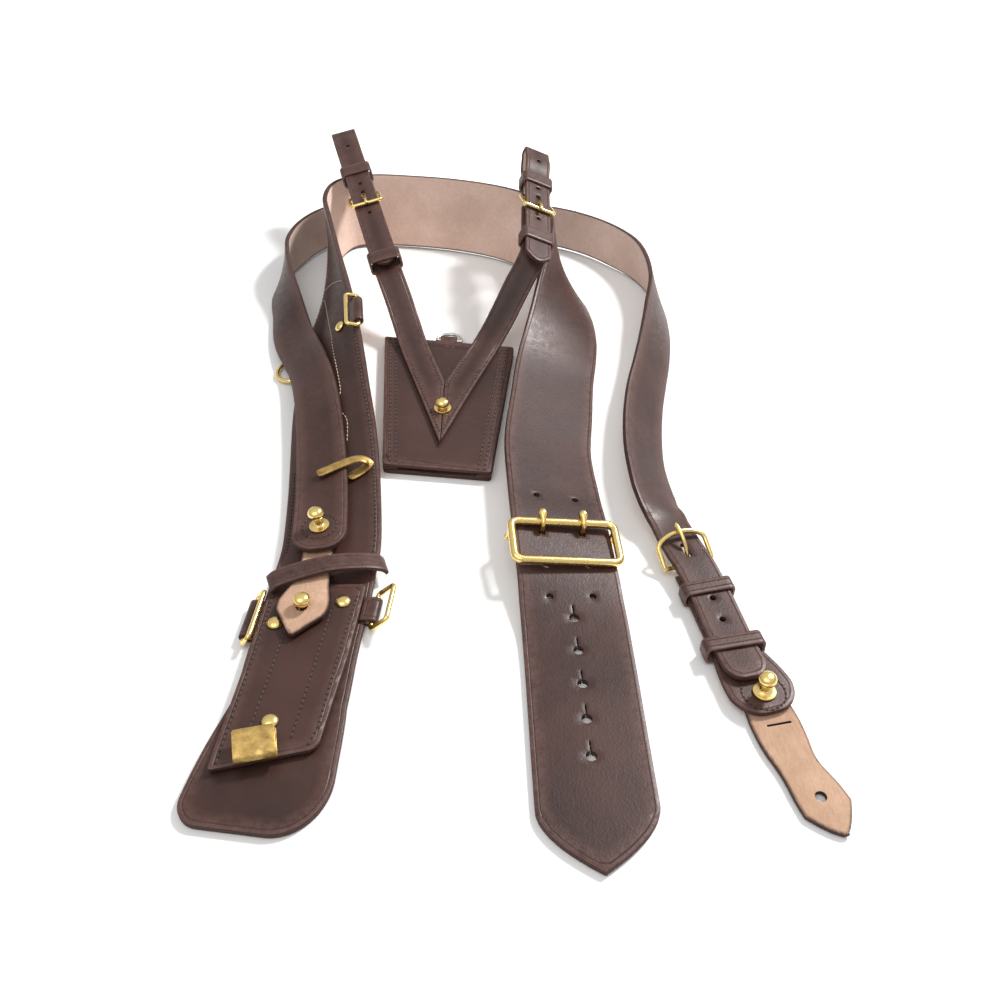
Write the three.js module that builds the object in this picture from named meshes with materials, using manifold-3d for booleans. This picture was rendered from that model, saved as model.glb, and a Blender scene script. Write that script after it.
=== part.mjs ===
// Sword belt rig laid out on a table: a wide waist belt with a two-prong buckle, a narrower
// cross strap with a horseshoe buckle, and a loose sword frog on two hanger straps.
// Millimetres, +Z up. The origin is on the waist belt's flat underside, on its front run.
import * as THREE from 'three';
import { mergeVertices } from 'three/addons/utils/BufferGeometryUtils.js';
import Module from 'manifold-3d';

const wasm = await Module();
wasm.setup();

// ---- driving dimensions ----
const GAP = 0.4;              // clearance between neighbouring pieces
const BELT_W = 60;            // waist belt width
const BELT_T = 4;             // waist belt leather
const STRAP_W = 33;           // cross strap width
const STRAP_T = 3.5;          // cross strap leather
const BILLET_W = 24;          // cross strap width below its buckle
const HANGER_W = 21;          // frog hanger strap width
const THIN_T = 3;             // hanger, tongue and panel leather
const PANEL_T = 3;            // overlay panel
const FROG_T = 2.6;           // frog panels
const WELT_T = 2.2;           // frog pocket depth
const WIRE_R = 1.5;           // ring and small buckle wire radius
const BAR_R = 2.2;            // main buckle bar radius
const PIN_R = 1.6;            // buckle pivot bar radius
const STEPS = 3;              // strap rings between two route points

// ---- routes: [x, y, z, roll]; roll is the strap's turn about its own direction, in degrees ----
const BELT_ROUTE = [
  [4, -102, 2, 0], [2, -55, 2, 0], [0, 0, 2, 0], [-1, 25, 2.15, 0], [-2, 45, 3.1, -1],
  [-3, 60, 5, -4], [-4, 76, 7.7, -6.5],
  [-6, 98, 11.2, -9], [-8, 122, 12.8, -11.5], [-10, 150, 11.6, -14], [-12, 194, 11, -16.5],
  [-8, 238, 11.2, -18], [-4, 278, 12.6, -21], [1, 308, 15.4, -26], [5, 335, 19, -34],
  [7, 365, 23.6, -46], [6, 394, 28, -62], [0, 425, 30.8, -85], [-14, 453, 30, -104],
  [-34, 475, 29, -112], [-58, 488, 28.8, -114], [-90, 498, 28.8, -114], [-125, 504, 28.8, -114],
  [-156, 505, 29.4, -110], [-179, 495, 30.2, -104], [-188, 467, 30.6, -95], [-185, 432, 30.6, -86],
  [-179, 381, 29.8, -72], [-173, 329, 25.6, -52], [-167, 280, 20, -36], [-162, 241, 15.2, -25],
  [-157, 209, 11.2, -16], [-153, 180, 8.4, -11], [-149, 145, 6.6, -8], [-146, 108, 4.8, -4],
  [-147, 86, 3.3, -2], [-148.5, 66, 2.4, 0], [-150, 50, 2.1, 0], [-152, 25, 2, 0], [-154, -11, 2, 0],
  [-159, -45, 2, 0], [-164, -82, 2, 0],
];
const CROSS_ROUTE = [
  [-151, 93, 14.9, 4], [-155.5, 142, 14.1, 8], [-164, 199, 15.6, 15], [-173, 244, 18, 25],
  [-184, 281, 17.4, 33], [-202, 327, 12.4, 29], [-213, 367, 14.8, 46], [-221, 398, 15.9, 56],
  [-223, 425, 17.7, 76], [-221, 448, 17.9, 92], [-212, 476, 17.6, 104], [-196, 499, 17, 112],
  [-172, 513, 16.7, 114], [-135, 518, 16.7, 114], [-90, 517, 16.7, 114], [-45, 511, 16.7, 114],
  [0, 500, 16.8, 114], [30, 484, 16.9, 112], [54, 461, 17.2, 108], [72, 432, 17.5, 92],
  [81, 390, 17, 72], [78, 347, 15, 53], [72, 310, 13.6, 45], [65, 278, 12.9, 42],
  [58, 247, 12.3, 38], [53, 213, 11.7, 36], [51, 179, 11.5, 35], [54, 142, 11, 28],
  [58.5, 126, 9.8, 11], [62.5, 110, 9.7, 1], [66.5, 97, 9.7, 0], [71, 84, 9.4, 0],
  [77, 60, 8, 0], [83, 27, 8.3, 0], [88.5, 3, 9.8, 0],
];
const CHAPE_ROUTE = [[71.5, 84, 4, 0], [77, 60, 3.9, 0], [84, 26, 4.4, 0], [93, -2, 5.4, 0], [97, -16, 5.6, 0]];
const TONGUE_ROUTE = [[97, -19, 1.8, 0], [102, -41, 1.8, 0], [110, -62, 1.8, 0], [118, -83, 1.8, 0]];
const TONGUE_ROOT_ROUTE = [[92, 4, 1.8, 0], [94.5, -7, 1.8, 0], [96.8, -18.2, 1.8, 0]];
const LEFT_TONGUE_ROUTE = [[-153.5, 111, 9.8, -4], [-152, 92, 9.9, -2], [-152, 68, 11.9, 0], [-158, 30, 11.9, 0]];
const KEEPER_ROUTE = [[-176.5, 68.5, 10.8, 0], [-170, 71, 14.6, 0], [-146, 79, 17, 0], [-126, 84, 14.6, 0],
  [-115, 87, 10.5, 0], [-111.8, 88, 6.5, 0]];
const HOOK_ROUTE = [[-141, 160, 13.4, -6], [-133, 166, 14.4, -6], [-128.6, 169, 17.4, -4],
  [-131, 169.5, 20.6, -4], [-139, 168, 21.4, -4], [-160, 157, 18.8, 0]];
const LEFT_HANGER_ROUTE = [[-70.4, 189, 10.2, 0], [-82.6, 229, 10.2, 0], [-96.4, 274, 10.2, 0],
  [-108.4, 313, 10.8, 0], [-116.2, 339, 17, 3], [-123.3, 357, 29, 8], [-129.2, 371, 37.6, 12],
  [-131.4, 378.6, 39.3, 12], [-137.4, 399.4, 43, 12], [-145, 425.9, 47.7, 12], [-154.3, 458.1, 53.5, 12]];
const RIGHT_HANGER_ROUTE = [[-98.8, 190, 10.2, 0], [-86.9, 225, 10.2, 0], [-71.6, 270, 10.3, 0],
  [-56, 312, 11.2, 0], [-44, 332, 23, -8], [-30, 351, 44, -16], [-21, 361, 57, -22],
  [-18.2, 371.5, 62, -24], [-17.8, 395.2, 65.8, -24], [-17.4, 418.9, 69.6, -24]];

// ---- materials ----
const paint = (color, roughness, metalness) => new THREE.MeshStandardMaterial({ color, roughness, metalness });
const LEATHER = paint(0x4a2d26, 0.5, 0);
const FLESH = paint(0xc8a084, 0.9, 0);
const BRASS = paint(0xc8a23c, 0.3, 1);
const STEEL = paint(0xa8a8a4, 0.3, 1);

// ---- vectors along a route ----
const V = (x, y, z) => new THREE.Vector3(x, y, z);
const UP = V(0, 0, 1);

function catmull(rows, u) {
  const last = rows.length - 1;
  const i = Math.min(Math.floor(u), last - 1);
  const t = u - i;
  const row = (k) => {
    if (k < 0) return rows[0].map((v, c) => 2 * v - rows[1][c]);
    if (k > last) return rows[last].map((v, c) => 2 * v - rows[last - 1][c]);
    return rows[k];
  };
  const [a, b, c, d] = [row(i - 1), row(i), row(i + 1), row(i + 2)];
  return b.map((v, k) => 0.5 * (2 * v + (c[k] - a[k]) * t
    + (2 * a[k] - 5 * v + 4 * c[k] - d[k]) * t * t + (3 * v - a[k] - 3 * c[k] + d[k]) * t ** 3));
}

// Centre p, direction t, width direction w and outward normal n of a strap at route value u.
function frameAt(rows, u) {
  const here = catmull(rows, u);
  const step = 0.02;
  const before = catmull(rows, Math.max(0, u - step));
  const after = catmull(rows, Math.min(rows.length - 1, u + step));
  const t = V(after[0] - before[0], after[1] - before[1], after[2] - before[2]).normalize();
  const side = t.clone().cross(UP).normalize();
  const up = side.clone().cross(t);
  const roll = THREE.MathUtils.degToRad(here[3]);
  const w = side.multiplyScalar(Math.cos(roll)).addScaledVector(up, Math.sin(roll));
  return { p: V(here[0], here[1], here[2]), t, w, n: w.clone().cross(t) };
}

// Evenly spaced places along a route, a few to each pair of its points.
function samples(rows, from, to, steps) {
  const list = [];
  const count = Math.max(2, Math.round((to - from) * steps));
  for (let k = 0; k <= count; k++) list.push(from + ((to - from) * k) / count);
  return list;
}

// ---- solids ----
function loft(rings, closed) {
  const size = rings[0].length;
  const positions = rings.flat().flatMap((v) => [v.x, v.y, v.z]);
  const index = [];
  const spans = closed ? rings.length : rings.length - 1;
  for (let r = 0; r < spans; r++) {
    const a = r * size;
    const b = ((r + 1) % rings.length) * size;
    for (let k = 0; k < size; k++) {
      const m = (k + 1) % size;
      index.push(a + k, a + m, b + m, a + k, b + m, b + k);
    }
  }
  if (!closed) {
    const end = (rings.length - 1) * size;
    for (let k = 1; k < size - 1; k++) index.push(0, k + 1, k, end, end + k, end + k + 1);
  }
  const geometry = new THREE.BufferGeometry();
  geometry.setAttribute('position', new THREE.Float32BufferAttribute(positions, 3));
  geometry.setIndex(index);
  return geometry;
}

// A flat strap along a route; reach(d, length) gives how far it extends to the -w and +w sides.
function strap(rows, thickness, reach, options = {}) {
  const { from = 0, to = rows.length - 1, steps = STEPS, extra = [] } = options;
  const us = [...samples(rows, from, to, steps), ...extra].sort((a, b) => a - b);
  const frames = us.map((u) => frameAt(rows, u));
  const along = [0];
  for (let k = 1; k < us.length; k++) along.push(along[k - 1] + frames[k].p.distanceTo(frames[k - 1].p));
  const length = along[along.length - 1];
  const rings = frames.map(({ p, w, n }, k) => {
    const [left, right] = reach(along[k], length);
    const corner = (across, high) => p.clone().addScaledVector(w, across).addScaledVector(n, high);
    const h = thickness / 2;
    return [corner(-left, -h), corner(-left, h), corner(right, h), corner(right, -h)];
  });
  return loft(rings, false);
}

const even = (half) => () => [half, half];

function toSolid(geometry) {
  const bare = geometry.clone();
  bare.deleteAttribute('normal');
  bare.deleteAttribute('uv');
  const merged = mergeVertices(bare, 1e-4);
  const mesh = new wasm.Mesh({
    numProp: 3,
    vertProperties: new Float32Array(merged.attributes.position.array),
    triVerts: new Uint32Array(merged.index.array),
  });
  return new wasm.Manifold(mesh);
}

function toGeometry(solid) {
  const mesh = solid.getMesh();
  const geometry = new THREE.BufferGeometry();
  geometry.setAttribute('position', new THREE.Float32BufferAttribute(mesh.vertProperties, 3));
  geometry.setIndex(Array.from(mesh.triVerts));
  return geometry;
}

const cut = (base, tools) => toGeometry(tools.reduce((s, tool) => s.subtract(toSolid(tool)), toSolid(base)));
const join = (parts) => toGeometry(parts.slice(1).reduce((s, part) => s.add(toSolid(part)), toSolid(parts[0])));
const common = (a, b) => toGeometry(toSolid(a).intersect(toSolid(b)));

function cylinder(radius, height, sides = 12) {
  return new THREE.CylinderGeometry(radius, radius, height, sides).rotateX(Math.PI / 2);
}

function rod(from, to, radius, sides = 8) {
  const dir = to.clone().sub(from);
  const bar = new THREE.CylinderGeometry(radius, radius, dir.length(), sides);
  bar.applyQuaternion(new THREE.Quaternion().setFromUnitVectors(V(0, 1, 0), dir.clone().normalize()));
  const mid = from.clone().add(to).multiplyScalar(0.5);
  return bar.translate(mid.x, mid.y, mid.z);
}

function plate(points, thickness) {
  const shape = new THREE.Shape(points.map(([x, y]) => new THREE.Vector2(x, y)));
  return new THREE.ExtrudeGeometry(shape, { depth: thickness, bevelEnabled: false, curveSegments: 6 });
}

// A closed ring of round wire whose centre line is a flat outline in the XY plane.
function wireRing(points, radius, sides = 8) {
  const count = points.length;
  const rings = points.map(([x, y], k) => {
    const [bx, by] = points[(k + count - 1) % count];
    const [ax, ay] = points[(k + 1) % count];
    const out = V(ay - by, bx - ax, 0).normalize();
    return Array.from({ length: sides }, (_, j) => {
      const a = (-2 * Math.PI * j) / sides;
      return V(x, y, 0).addScaledVector(out, radius * Math.cos(a)).addScaledVector(UP, radius * Math.sin(a));
    });
  });
  return loft(rings, true);
}

// Outline of a rounded rectangle, corners as short arcs, counter-clockwise.
function roundedRect(width, depth, corner, arc = 3) {
  const points = [];
  const [hx, hy] = [width / 2 - corner, depth / 2 - corner];
  const centres = [[hx, -hy], [hx, hy], [-hx, hy], [-hx, -hy]];
  centres.forEach(([cx, cy], q) => {
    for (let k = 0; k <= arc; k++) {
      const a = -Math.PI / 2 + (q + k / arc) * (Math.PI / 2);
      points.push([cx + corner * Math.cos(a), cy + corner * Math.sin(a)]);
    }
  });
  return points;
}

// Outline of a D: a straight bar along X at y = 0 and a half circle on the +Y side.
function deeOutline(radius, arc = 10) {
  const points = [];
  for (let k = 0; k <= arc; k++) {
    const a = (Math.PI * k) / arc;
    points.push([radius * Math.cos(a), radius * 0.95 * Math.sin(a)]);
  }
  return points;
}

// Outline of a horseshoe: a straight bar at y = 0, two short legs and a half ellipse.
function horseshoe({ half, leg, rise }, arc = 10) {
  const points = [[half, 0]];
  for (let k = 0; k <= arc; k++) {
    const a = (Math.PI * k) / arc;
    points.push([half * Math.cos(a), leg + rise * Math.sin(a)]);
  }
  points.push([-half, 0]);
  return points;
}

function lathe(profile, sides = 12) {
  const points = profile.map(([r, z]) => new THREE.Vector2(r, z));
  return new THREE.LatheGeometry(points, sides).rotateX(Math.PI / 2);
}

// ---- placing ----
const rig = new THREE.Group();

function add(name, geometry, material, parent = rig) {
  const mesh = new THREE.Mesh(geometry, material);
  mesh.name = name;
  parent.add(mesh);
  return mesh;
}

// A group standing on a strap's face: X across the strap, Y along it, Z out of the face.
function seat(rows, u, across = 0, lift = 0, turn = 0) {
  const { p, t, w, n } = frameAt(rows, u);
  const group = new THREE.Group();
  group.matrixAutoUpdate = false;
  group.matrix.makeBasis(w, t, n);
  group.matrix.setPosition(p.clone().addScaledVector(w, across).addScaledVector(n, lift));
  group.matrix.multiply(new THREE.Matrix4().makeRotationZ(turn));
  rig.add(group);
  return group;
}

function at(x, y, z, yaw = 0, pitch = 0, roll = 0) {
  const group = new THREE.Group();
  group.position.set(x, y, z);
  group.rotation.set(pitch, roll, yaw, 'ZXY');
  rig.add(group);
  return group;
}

function bore(rows, u, across, radius, thickness) {
  const group = seat(rows, u, across);
  rig.remove(group);
  return cylinder(radius, thickness + 4, 10).applyMatrix4(group.matrix);
}

const rad = THREE.MathUtils.degToRad;

// ---- waist belt ----
const TIP_LENGTH = 33;
const PADDLE_LENGTH = 75;

function beltReach(d, length) {
  const half = BELT_W / 2;
  if (d < TIP_LENGTH) {
    const tip = Math.max(0.02, 1 - (1 - d / TIP_LENGTH) ** 1.8);
    return [half * tip, half * tip];
  }
  const left = length - d;
  if (left > PADDLE_LENGTH) return [half, half];
  const flare = 1 + 0.22 * Math.sin((Math.PI / 2) * (1 - left / PADDLE_LENGTH));
  const outer = left < 14 ? Math.sqrt(1 - (1 - left / 14) ** 2) * 0.35 + 0.65 : 1;
  const inner = left < 34 ? Math.sqrt(1 - (1 - left / 34) ** 2) * 0.75 + 0.25 : 1;
  return [half * flare * inner, half * flare * outer];
}

const KEY_SLOTS = [0, 1, 2, 3, 4].map((k) => 48.8 - 22.4 * k);
const PRONG_HOLES = [63.4, 84.8, 140.7];
const PRONG_SPREAD = 12.5;

const beltAtY = (y) => {
  let [low, high] = [0, 10];
  while (high - low > 1e-4) {
    const mid = (low + high) / 2;
    if (catmull(BELT_ROUTE, mid)[1] < y) low = mid;
    else high = mid;
  }
  return low;
};

function keySlot(y) {
  const group = seat(BELT_ROUTE, beltAtY(y));
  rig.remove(group);
  const slit = new THREE.BoxGeometry(1.4, 9, BELT_T + 4).translate(0, 5, 0);
  return [cylinder(2.8, BELT_T + 4, 10), slit].map((g) => g.applyMatrix4(group.matrix));
}

function waistBelt() {
  const holes = PRONG_HOLES.flatMap((y) =>
    [-PRONG_SPREAD, PRONG_SPREAD].map((x) => bore(BELT_ROUTE, beltAtY(y), x, 2, BELT_T)));
  holes.push(...KEY_SLOTS.flatMap(keySlot));
  const main = seat(BELT_ROUTE, MAIN_U);
  holes.push(...[-PRONG_SPREAD, PRONG_SPREAD].map((x) => prongSlot(main, x, PIVOT_Y - 0.8, 5.6, 3.8, BELT_T)));
  const last = BELT_ROUTE.length - 1;
  const extra = [0.06, 0.14, 0.24, 0.45, 0.58].concat([last - 0.06, last - 0.15, last - 0.25, last - 0.5]);
  add('waist_belt', cut(strap(BELT_ROUTE, BELT_T, beltReach, { extra }), holes), LEATHER);
}

// A pin that swings on a buckle's pivot bar: an eye round the bar and a shank bent over the far bar.
function prong(pivotY, pivotZ, barY, barZ, barR, pinR, pivotR) {
  const lift = barR + pinR + GAP;
  const steep = barY - pivotY < 2 * lift;
  const points = steep
    ? [[pivotY, pivotZ + pivotR + 0.5], [pivotY - 0.2, barZ], [barY - lift * 0.72, barZ + lift * 0.72]]
    : [[pivotY + 1, pivotZ + pivotR + 0.5], [(pivotY + barY) / 2, barZ - 0.6],
      [barY - lift, barZ + lift * 0.72]];
  points.push([barY, barZ + lift], [barY + barR + 1.6, barZ + lift]);
  const shank = points.slice(1).map(([y, z], k) => rod(V(0, points[k][0], points[k][1]), V(0, y, z), pinR));
  const knees = points.slice(1).map(([y, z]) => new THREE.SphereGeometry(pinR * 1.02, 8, 6).translate(0, y, z));
  const eye = cut(cylinder(pivotR + 1.3, 3.4, 10).rotateY(Math.PI / 2),
    [cylinder(pivotR + 0.35, 6, 10).rotateY(Math.PI / 2)]).translate(0, pivotY, pivotZ);
  return cut(join([eye, ...shank, ...knees]),
    [cylinder(pivotR + 0.35, 6, 10).rotateY(Math.PI / 2).translate(0, pivotY, pivotZ)]);
}

// ---- main buckle: top and bottom bars over the belt, pivot bar and two prongs through it ----
const MAIN_U = beltAtY(99);
const MAIN_WIDTH = 68;
const MAIN_DEPTH = 34;
const PIVOT_Y = 10.7;
const MAIN_TOP = BELT_T / 2 + GAP + BAR_R + 0.6;
const MAIN_UNDER = -(BELT_T / 2 + GAP + PIN_R + 1.4);

function mainBuckle() {
  const group = seat(BELT_ROUTE, MAIN_U);
  const outline = roundedRect(MAIN_WIDTH - 2 * BAR_R, MAIN_DEPTH - 2 * BAR_R, 5);
  const ring = wireRing(outline, BAR_R).translate(0, 0, MAIN_TOP);
  const x = MAIN_WIDTH / 2 - BAR_R;
  const legs = [-x, x].map((px) => rod(V(px, PIVOT_Y, MAIN_TOP), V(px, PIVOT_Y, MAIN_UNDER - PIN_R), 1.4));
  const pivot = rod(V(-x, PIVOT_Y, MAIN_UNDER), V(x, PIVOT_Y, MAIN_UNDER), PIN_R);
  add('main_buckle_frame', join([ring, ...legs, pivot]), BRASS, group);
  const barY = MAIN_DEPTH / 2 - BAR_R;
  [['main_prong_left', -PRONG_SPREAD], ['main_prong_right', PRONG_SPREAD]].forEach(([name, px]) => {
    const pin = prong(PIVOT_Y, MAIN_UNDER, barY, MAIN_TOP, BAR_R, 1.5, PIN_R);
    add(name, pin.translate(px, 0, 0), BRASS, group);
  });
}

function prongSlot(group, px, y, length, width, thickness) {
  const slot = new THREE.BoxGeometry(width, length, thickness + 6).translate(px, y, 0);
  return slot.applyMatrix4(group.matrix);
}

// ---- studs and rivets ----
const STUD = [[0, -3], [1.6, -3], [1.6, 0.4], [6.2, 0.4], [6, 1.3], [2.4, 1.7], [2.1, 7], [3.4, 7.6],
  [4.8, 9.6], [4.7, 11.4], [3.2, 13.4], [0, 14]];
const RIVET = [[0, -2.4], [1.5, -2.4], [1.5, 0.4], [4.4, 0.4], [4, 1.4], [2.4, 2.2], [0, 2.5]];
const SHORT_STUD = [[0, -3], [1.6, -3], [1.6, 0.4], [6.2, 0.4], [6, 1.3], [2.6, 1.7], [2.3, 2.6], [3.6, 3.2],
  [4.9, 4.6], [4.7, 6], [3.2, 7.4], [0, 8]];
const STUD_BORE = 2;

function fastener(name, group, profile, z) {
  add(name, lathe(profile).translate(0, 0, z), BRASS, group);
}

// ---- rings on leather loops at the belt's edges ----
// The ring's bar runs along the belt inside the loop; the ring leans over by tilt.
function edgeRing(name, u, side, size, tilt, offset = BELT_W / 2 + 4.2) {
  const [long, short] = size;
  const group = seat(BELT_ROUTE, u, side * offset, 1.7);
  const inner = new THREE.Group();
  inner.rotation.y = side * tilt;
  group.add(inner);
  const outline = roundedRect(short, long, 2.4).map(([x, y]) => [x - (side * short) / 2, y]);
  add(`${name}_ring`, wireRing(outline, WIRE_R), BRASS, inner);
  const loop = cut(cylinder(WIRE_R + 1.7, long - 8, 12), [cylinder(WIRE_R + 0.35, long, 12)]);
  add(`${name}_loop`, loop.rotateX(Math.PI / 2), LEATHER, group);
}

function edgeRings() {
  const left = leftRun(45);
  edgeRing('left_lower', left, 1, [35, 8], rad(55));
  edgeRing('right_lower', leftRun(58), -1, [26, 14], rad(135));
  edgeRing('right_upper', leftRun(306), -1, [34, 9], rad(60));
  const group = at(-198, 294, 3.4, rad(7));
  const inner = new THREE.Group();
  inner.rotation.y = rad(-7);
  group.add(inner);
  const dee = deeOutline(13).map(([x, y]) => [-y, x]);
  add('left_upper_ring', wireRing(dee, WIRE_R), BRASS, inner);
  const loop = cut(cylinder(WIRE_R + 1.7, 14, 12), [cylinder(WIRE_R + 0.35, 20, 12)]);
  add('left_upper_loop', loop.rotateX(Math.PI / 2), LEATHER, group);
}

// Route value on the left run of the waist belt at a given y.
function leftRun(y) {
  let [low, high] = [24, BELT_ROUTE.length - 1];
  while (high - low > 1e-4) {
    const mid = (low + high) / 2;
    if (catmull(BELT_ROUTE, mid)[1] > y) low = mid;
    else high = mid;
  }
  return low;
}

// ---- overlay panel on the belt's left end, with its hook plate, studs and keeper ----
const OVERLAY_Z = 5.4;
const OVERLAY_OUTLINE = [[-177, 72], [-181, 10], [-187, -52], [-137, -40], [-134, -36], [-126, 20],
  [-121, 72]];

function overlay() {
  const bores = [[-154, 50], [-169, 42], [-133, 58]].map(([x, y]) =>
    cylinder(STUD_BORE, PANEL_T * 4, 10).translate(x, y, OVERLAY_Z));
  add('overlay_panel', cut(plate(OVERLAY_OUTLINE, PANEL_T).translate(0, 0, OVERLAY_Z), bores), LEATHER);
  const face = OVERLAY_Z + PANEL_T;
  fastener('panel_stud', at(-154, 50, face), STUD, 0);
  fastener('panel_rivet_left', at(-169, 42, face), RIVET, 0);
  fastener('panel_rivet_right', at(-133, 58, face), RIVET, 0);
}

function hookPlate() {
  const profile = [[0, 0], [17, 0], [19, 1.4], [19.6, 3.2], [18.6, 5.2], [16.6, 6], [3, 8.4], [2.8, 7.2],
    [16.2, 4.8], [17.6, 4.2], [18.3, 3.1], [17.8, 1.8], [16.6, 1.2], [0, 1.2]];
  const sheet = plate(profile, 21).translate(0, 0, -10.5);
  sheet.applyMatrix4(new THREE.Matrix4().makeBasis(V(0, -1, 0), V(0, 0, 1), V(-1, 0, 0)));
  add('hook_plate', sheet, BRASS, at(-167, -29.5, OVERLAY_Z + PANEL_T + GAP, rad(12)));
}

function flatHook() {
  add('flat_hook', strap(HOOK_ROUTE, 1.4, even(3.3), { steps: 3 }), BRASS);
}

function keeperLoop() {
  add('keeper_loop', strap(KEEPER_ROUTE, 2.6, even(6.5)), LEATHER);
}

// ---- cross strap ----
function crossReach(d, length) {
  const end = 15;
  const half = STRAP_W / 2;
  if (d < end) {
    const r = Math.sqrt(1 - (1 - d / end) ** 2) * 0.8 + 0.2;
    return [half * r, half * r];
  }
  const left = length - d;
  const narrow = BILLET_W / 2;
  if (left > 150) return [half, half];
  if (left > 120) {
    const k = (left - 120) / 30;
    return [narrow + (half - narrow) * k, narrow + (half - narrow) * k];
  }
  if (left > 12) return [narrow, narrow];
  const r = Math.sqrt(1 - (1 - left / 12) ** 2) * 0.75 + 0.25;
  return [narrow * r, narrow * r];
}

const crossEnd = (y) => {
  let [low, high] = [24, CROSS_ROUTE.length - 1];
  while (high - low > 1e-4) {
    const mid = (low + high) / 2;
    if (catmull(CROSS_ROUTE, mid)[1] > y) low = mid;
    else high = mid;
  }
  return low;
};

const HORSESHOE_U = crossEnd(92);
const HORSESHOE = { half: 15.5, leg: 10, rise: 6.5, lift: 2.4 };

// A single-bar buckle: ring tilted from its pivot bar under the strap to its far bar over it.
function strapBuckle(name, group, outline, depth, thickness, lift = 0) {
  const pivotZ = -(thickness / 2 + GAP + WIRE_R + 1.3);
  const barZ = thickness / 2 + GAP + WIRE_R + lift;
  const tilt = Math.atan2(barZ - pivotZ, depth);
  const span = Math.hypot(barZ - pivotZ, depth);
  const scale = span / depth;
  const ring = wireRing(outline.map(([x, y]) => [x, y * scale]), WIRE_R);
  add(`${name}_frame`, ring.rotateX(tilt).translate(0, 0, pivotZ), BRASS, group);
  add(`${name}_prong`, prong(0, pivotZ, depth, barZ, WIRE_R, 1.2, WIRE_R), BRASS, group);
}

// A keeper: a thin leather band round the straps it holds together.
function keeper(name, group, innerWidth, innerDepth, length, wall = 1.8) {
  const outer = new THREE.Shape(roundedRect(innerWidth + 2 * wall, innerDepth + 2 * wall, wall + 0.8)
    .map(([x, y]) => new THREE.Vector2(x, y)));
  outer.holes.push(new THREE.Path(roundedRect(innerWidth, innerDepth, 0.8).reverse()
    .map(([x, y]) => new THREE.Vector2(x, y))));
  const band = new THREE.ExtrudeGeometry(outer, { depth: length, bevelEnabled: false });
  band.translate(0, 0, -length / 2).rotateX(Math.PI / 2);
  add(name, band, LEATHER, group);
}

const CROSS_STUD_Y = 112;
function crossStrap() {
  const group = seat(CROSS_ROUTE, HORSESHOE_U, 0, 0, Math.PI);
  const tools = [
    bore(CROSS_ROUTE, crossStart(CROSS_STUD_Y), 0, STUD_BORE, STRAP_T),
    prongSlot(group, 0, 5.2, 11, 3.6, STRAP_T),
    ...[60, 44].map((y) => bore(CROSS_ROUTE, crossEnd(y), 0, 1.8, STRAP_T)),
  ];
  const last = CROSS_ROUTE.length - 1;
  const extra = [0.08, 0.2, last - 0.08, last - 0.2, last - 0.4];
  add('cross_strap', cut(strap(CROSS_ROUTE, STRAP_T, crossReach, { extra }), tools), LEATHER);
  const depth = HORSESHOE.leg + HORSESHOE.rise;
  strapBuckle('horseshoe_buckle', group, horseshoe(HORSESHOE), depth, STRAP_T, HORSESHOE.lift);
  fastener('cross_stud', seat(CROSS_ROUTE, crossStart(CROSS_STUD_Y)), STUD, STRAP_T / 2);
}

function crossStart(y) {
  let [low, high] = [0, 8];
  while (high - low > 1e-4) {
    const mid = (low + high) / 2;
    if (catmull(CROSS_ROUTE, mid)[1] < y) low = mid;
    else high = mid;
  }
  return low;
}

function leftTongue() {
  const reach = (d, length) => {
    const left = length - d;
    const tip = left < 16 ? Math.max(0.12, (left / 16) ** 0.6) : 1;
    const waist = 9 + 5.5 * Math.exp(-(((left - 22) / 14) ** 2));
    return [waist * tip, waist * tip];
  };
  const button = new THREE.CylinderGeometry(3.1, 3.1, 12, 10).rotateX(Math.PI / 2).translate(-154, 50, 10.9);
  add('left_tongue', cut(strap(LEFT_TONGUE_ROUTE, THIN_T, reach, { steps: 5 }), [button]), FLESH);
}

// ---- chape, stud and folding tongue at the cross strap's right end ----
const STUD_AT = [94, -4];

function chapeEnd() {
  const reach = (d, length) => {
    const left = length - d;
    const wide = left < 45 ? 12.8 + 5.4 * Math.sin((Math.PI / 2) * Math.min(1, (45 - left) / 32)) : 12.8;
    const r = left < 17 ? Math.sqrt(1 - (1 - left / 17) ** 2) * 0.85 + 0.15 : 1;
    return [wide * r, wide * r];
  };
  const stud = cylinder(STUD_BORE, 14, 10).translate(...STUD_AT, 5.5);
  add('chape', cut(strap(CHAPE_ROUTE, THIN_T, reach, { steps: 5 }), [stud]), LEATHER);
  fastener('chape_stud', at(...STUD_AT, 7.1), STUD, 0);
  add('tongue_root', strap(TONGUE_ROOT_ROUTE, THIN_T, even(11)), FLESH);
  const tongue = (d, length) => {
    const left = length - d;
    const tip = left < 15 ? Math.max(0.15, (left / 15) ** 0.7) : 1;
    const half = 13 - 2.2 * Math.exp(-(((d - 28) / 12) ** 2));
    return [half * tip, half * tip];
  };
  const hole = new THREE.CylinderGeometry(2.8, 2.8, 12, 10).rotateX(Math.PI / 2).translate(111, -63, 2);
  add('tongue', cut(strap(TONGUE_ROUTE, THIN_T, tongue, { steps: 5 }), [hole]), FLESH);
  keeper('upper_keeper', seat(CROSS_ROUTE, crossEnd(68), 0, -2), 28, 8.8, 9, 1.5);
  keeper('lower_keeper', seat(CROSS_ROUTE, crossEnd(27), 0, -1.8), 31.5, 8.6, 9, 1.5);
}

// ---- sword frog ----
const FROG = {
  topLeft: [-133, 334], topRight: [-33.5, 319], bottomRight: [-50, 171.5], bottomLeft: [-121.5, 180.5],
};
const FROG_FACE = 2 * FROG_T + WELT_T + 2 * GAP;
const FROG_STUD = [-84, 236];
const MITRE_X = -84;

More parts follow.
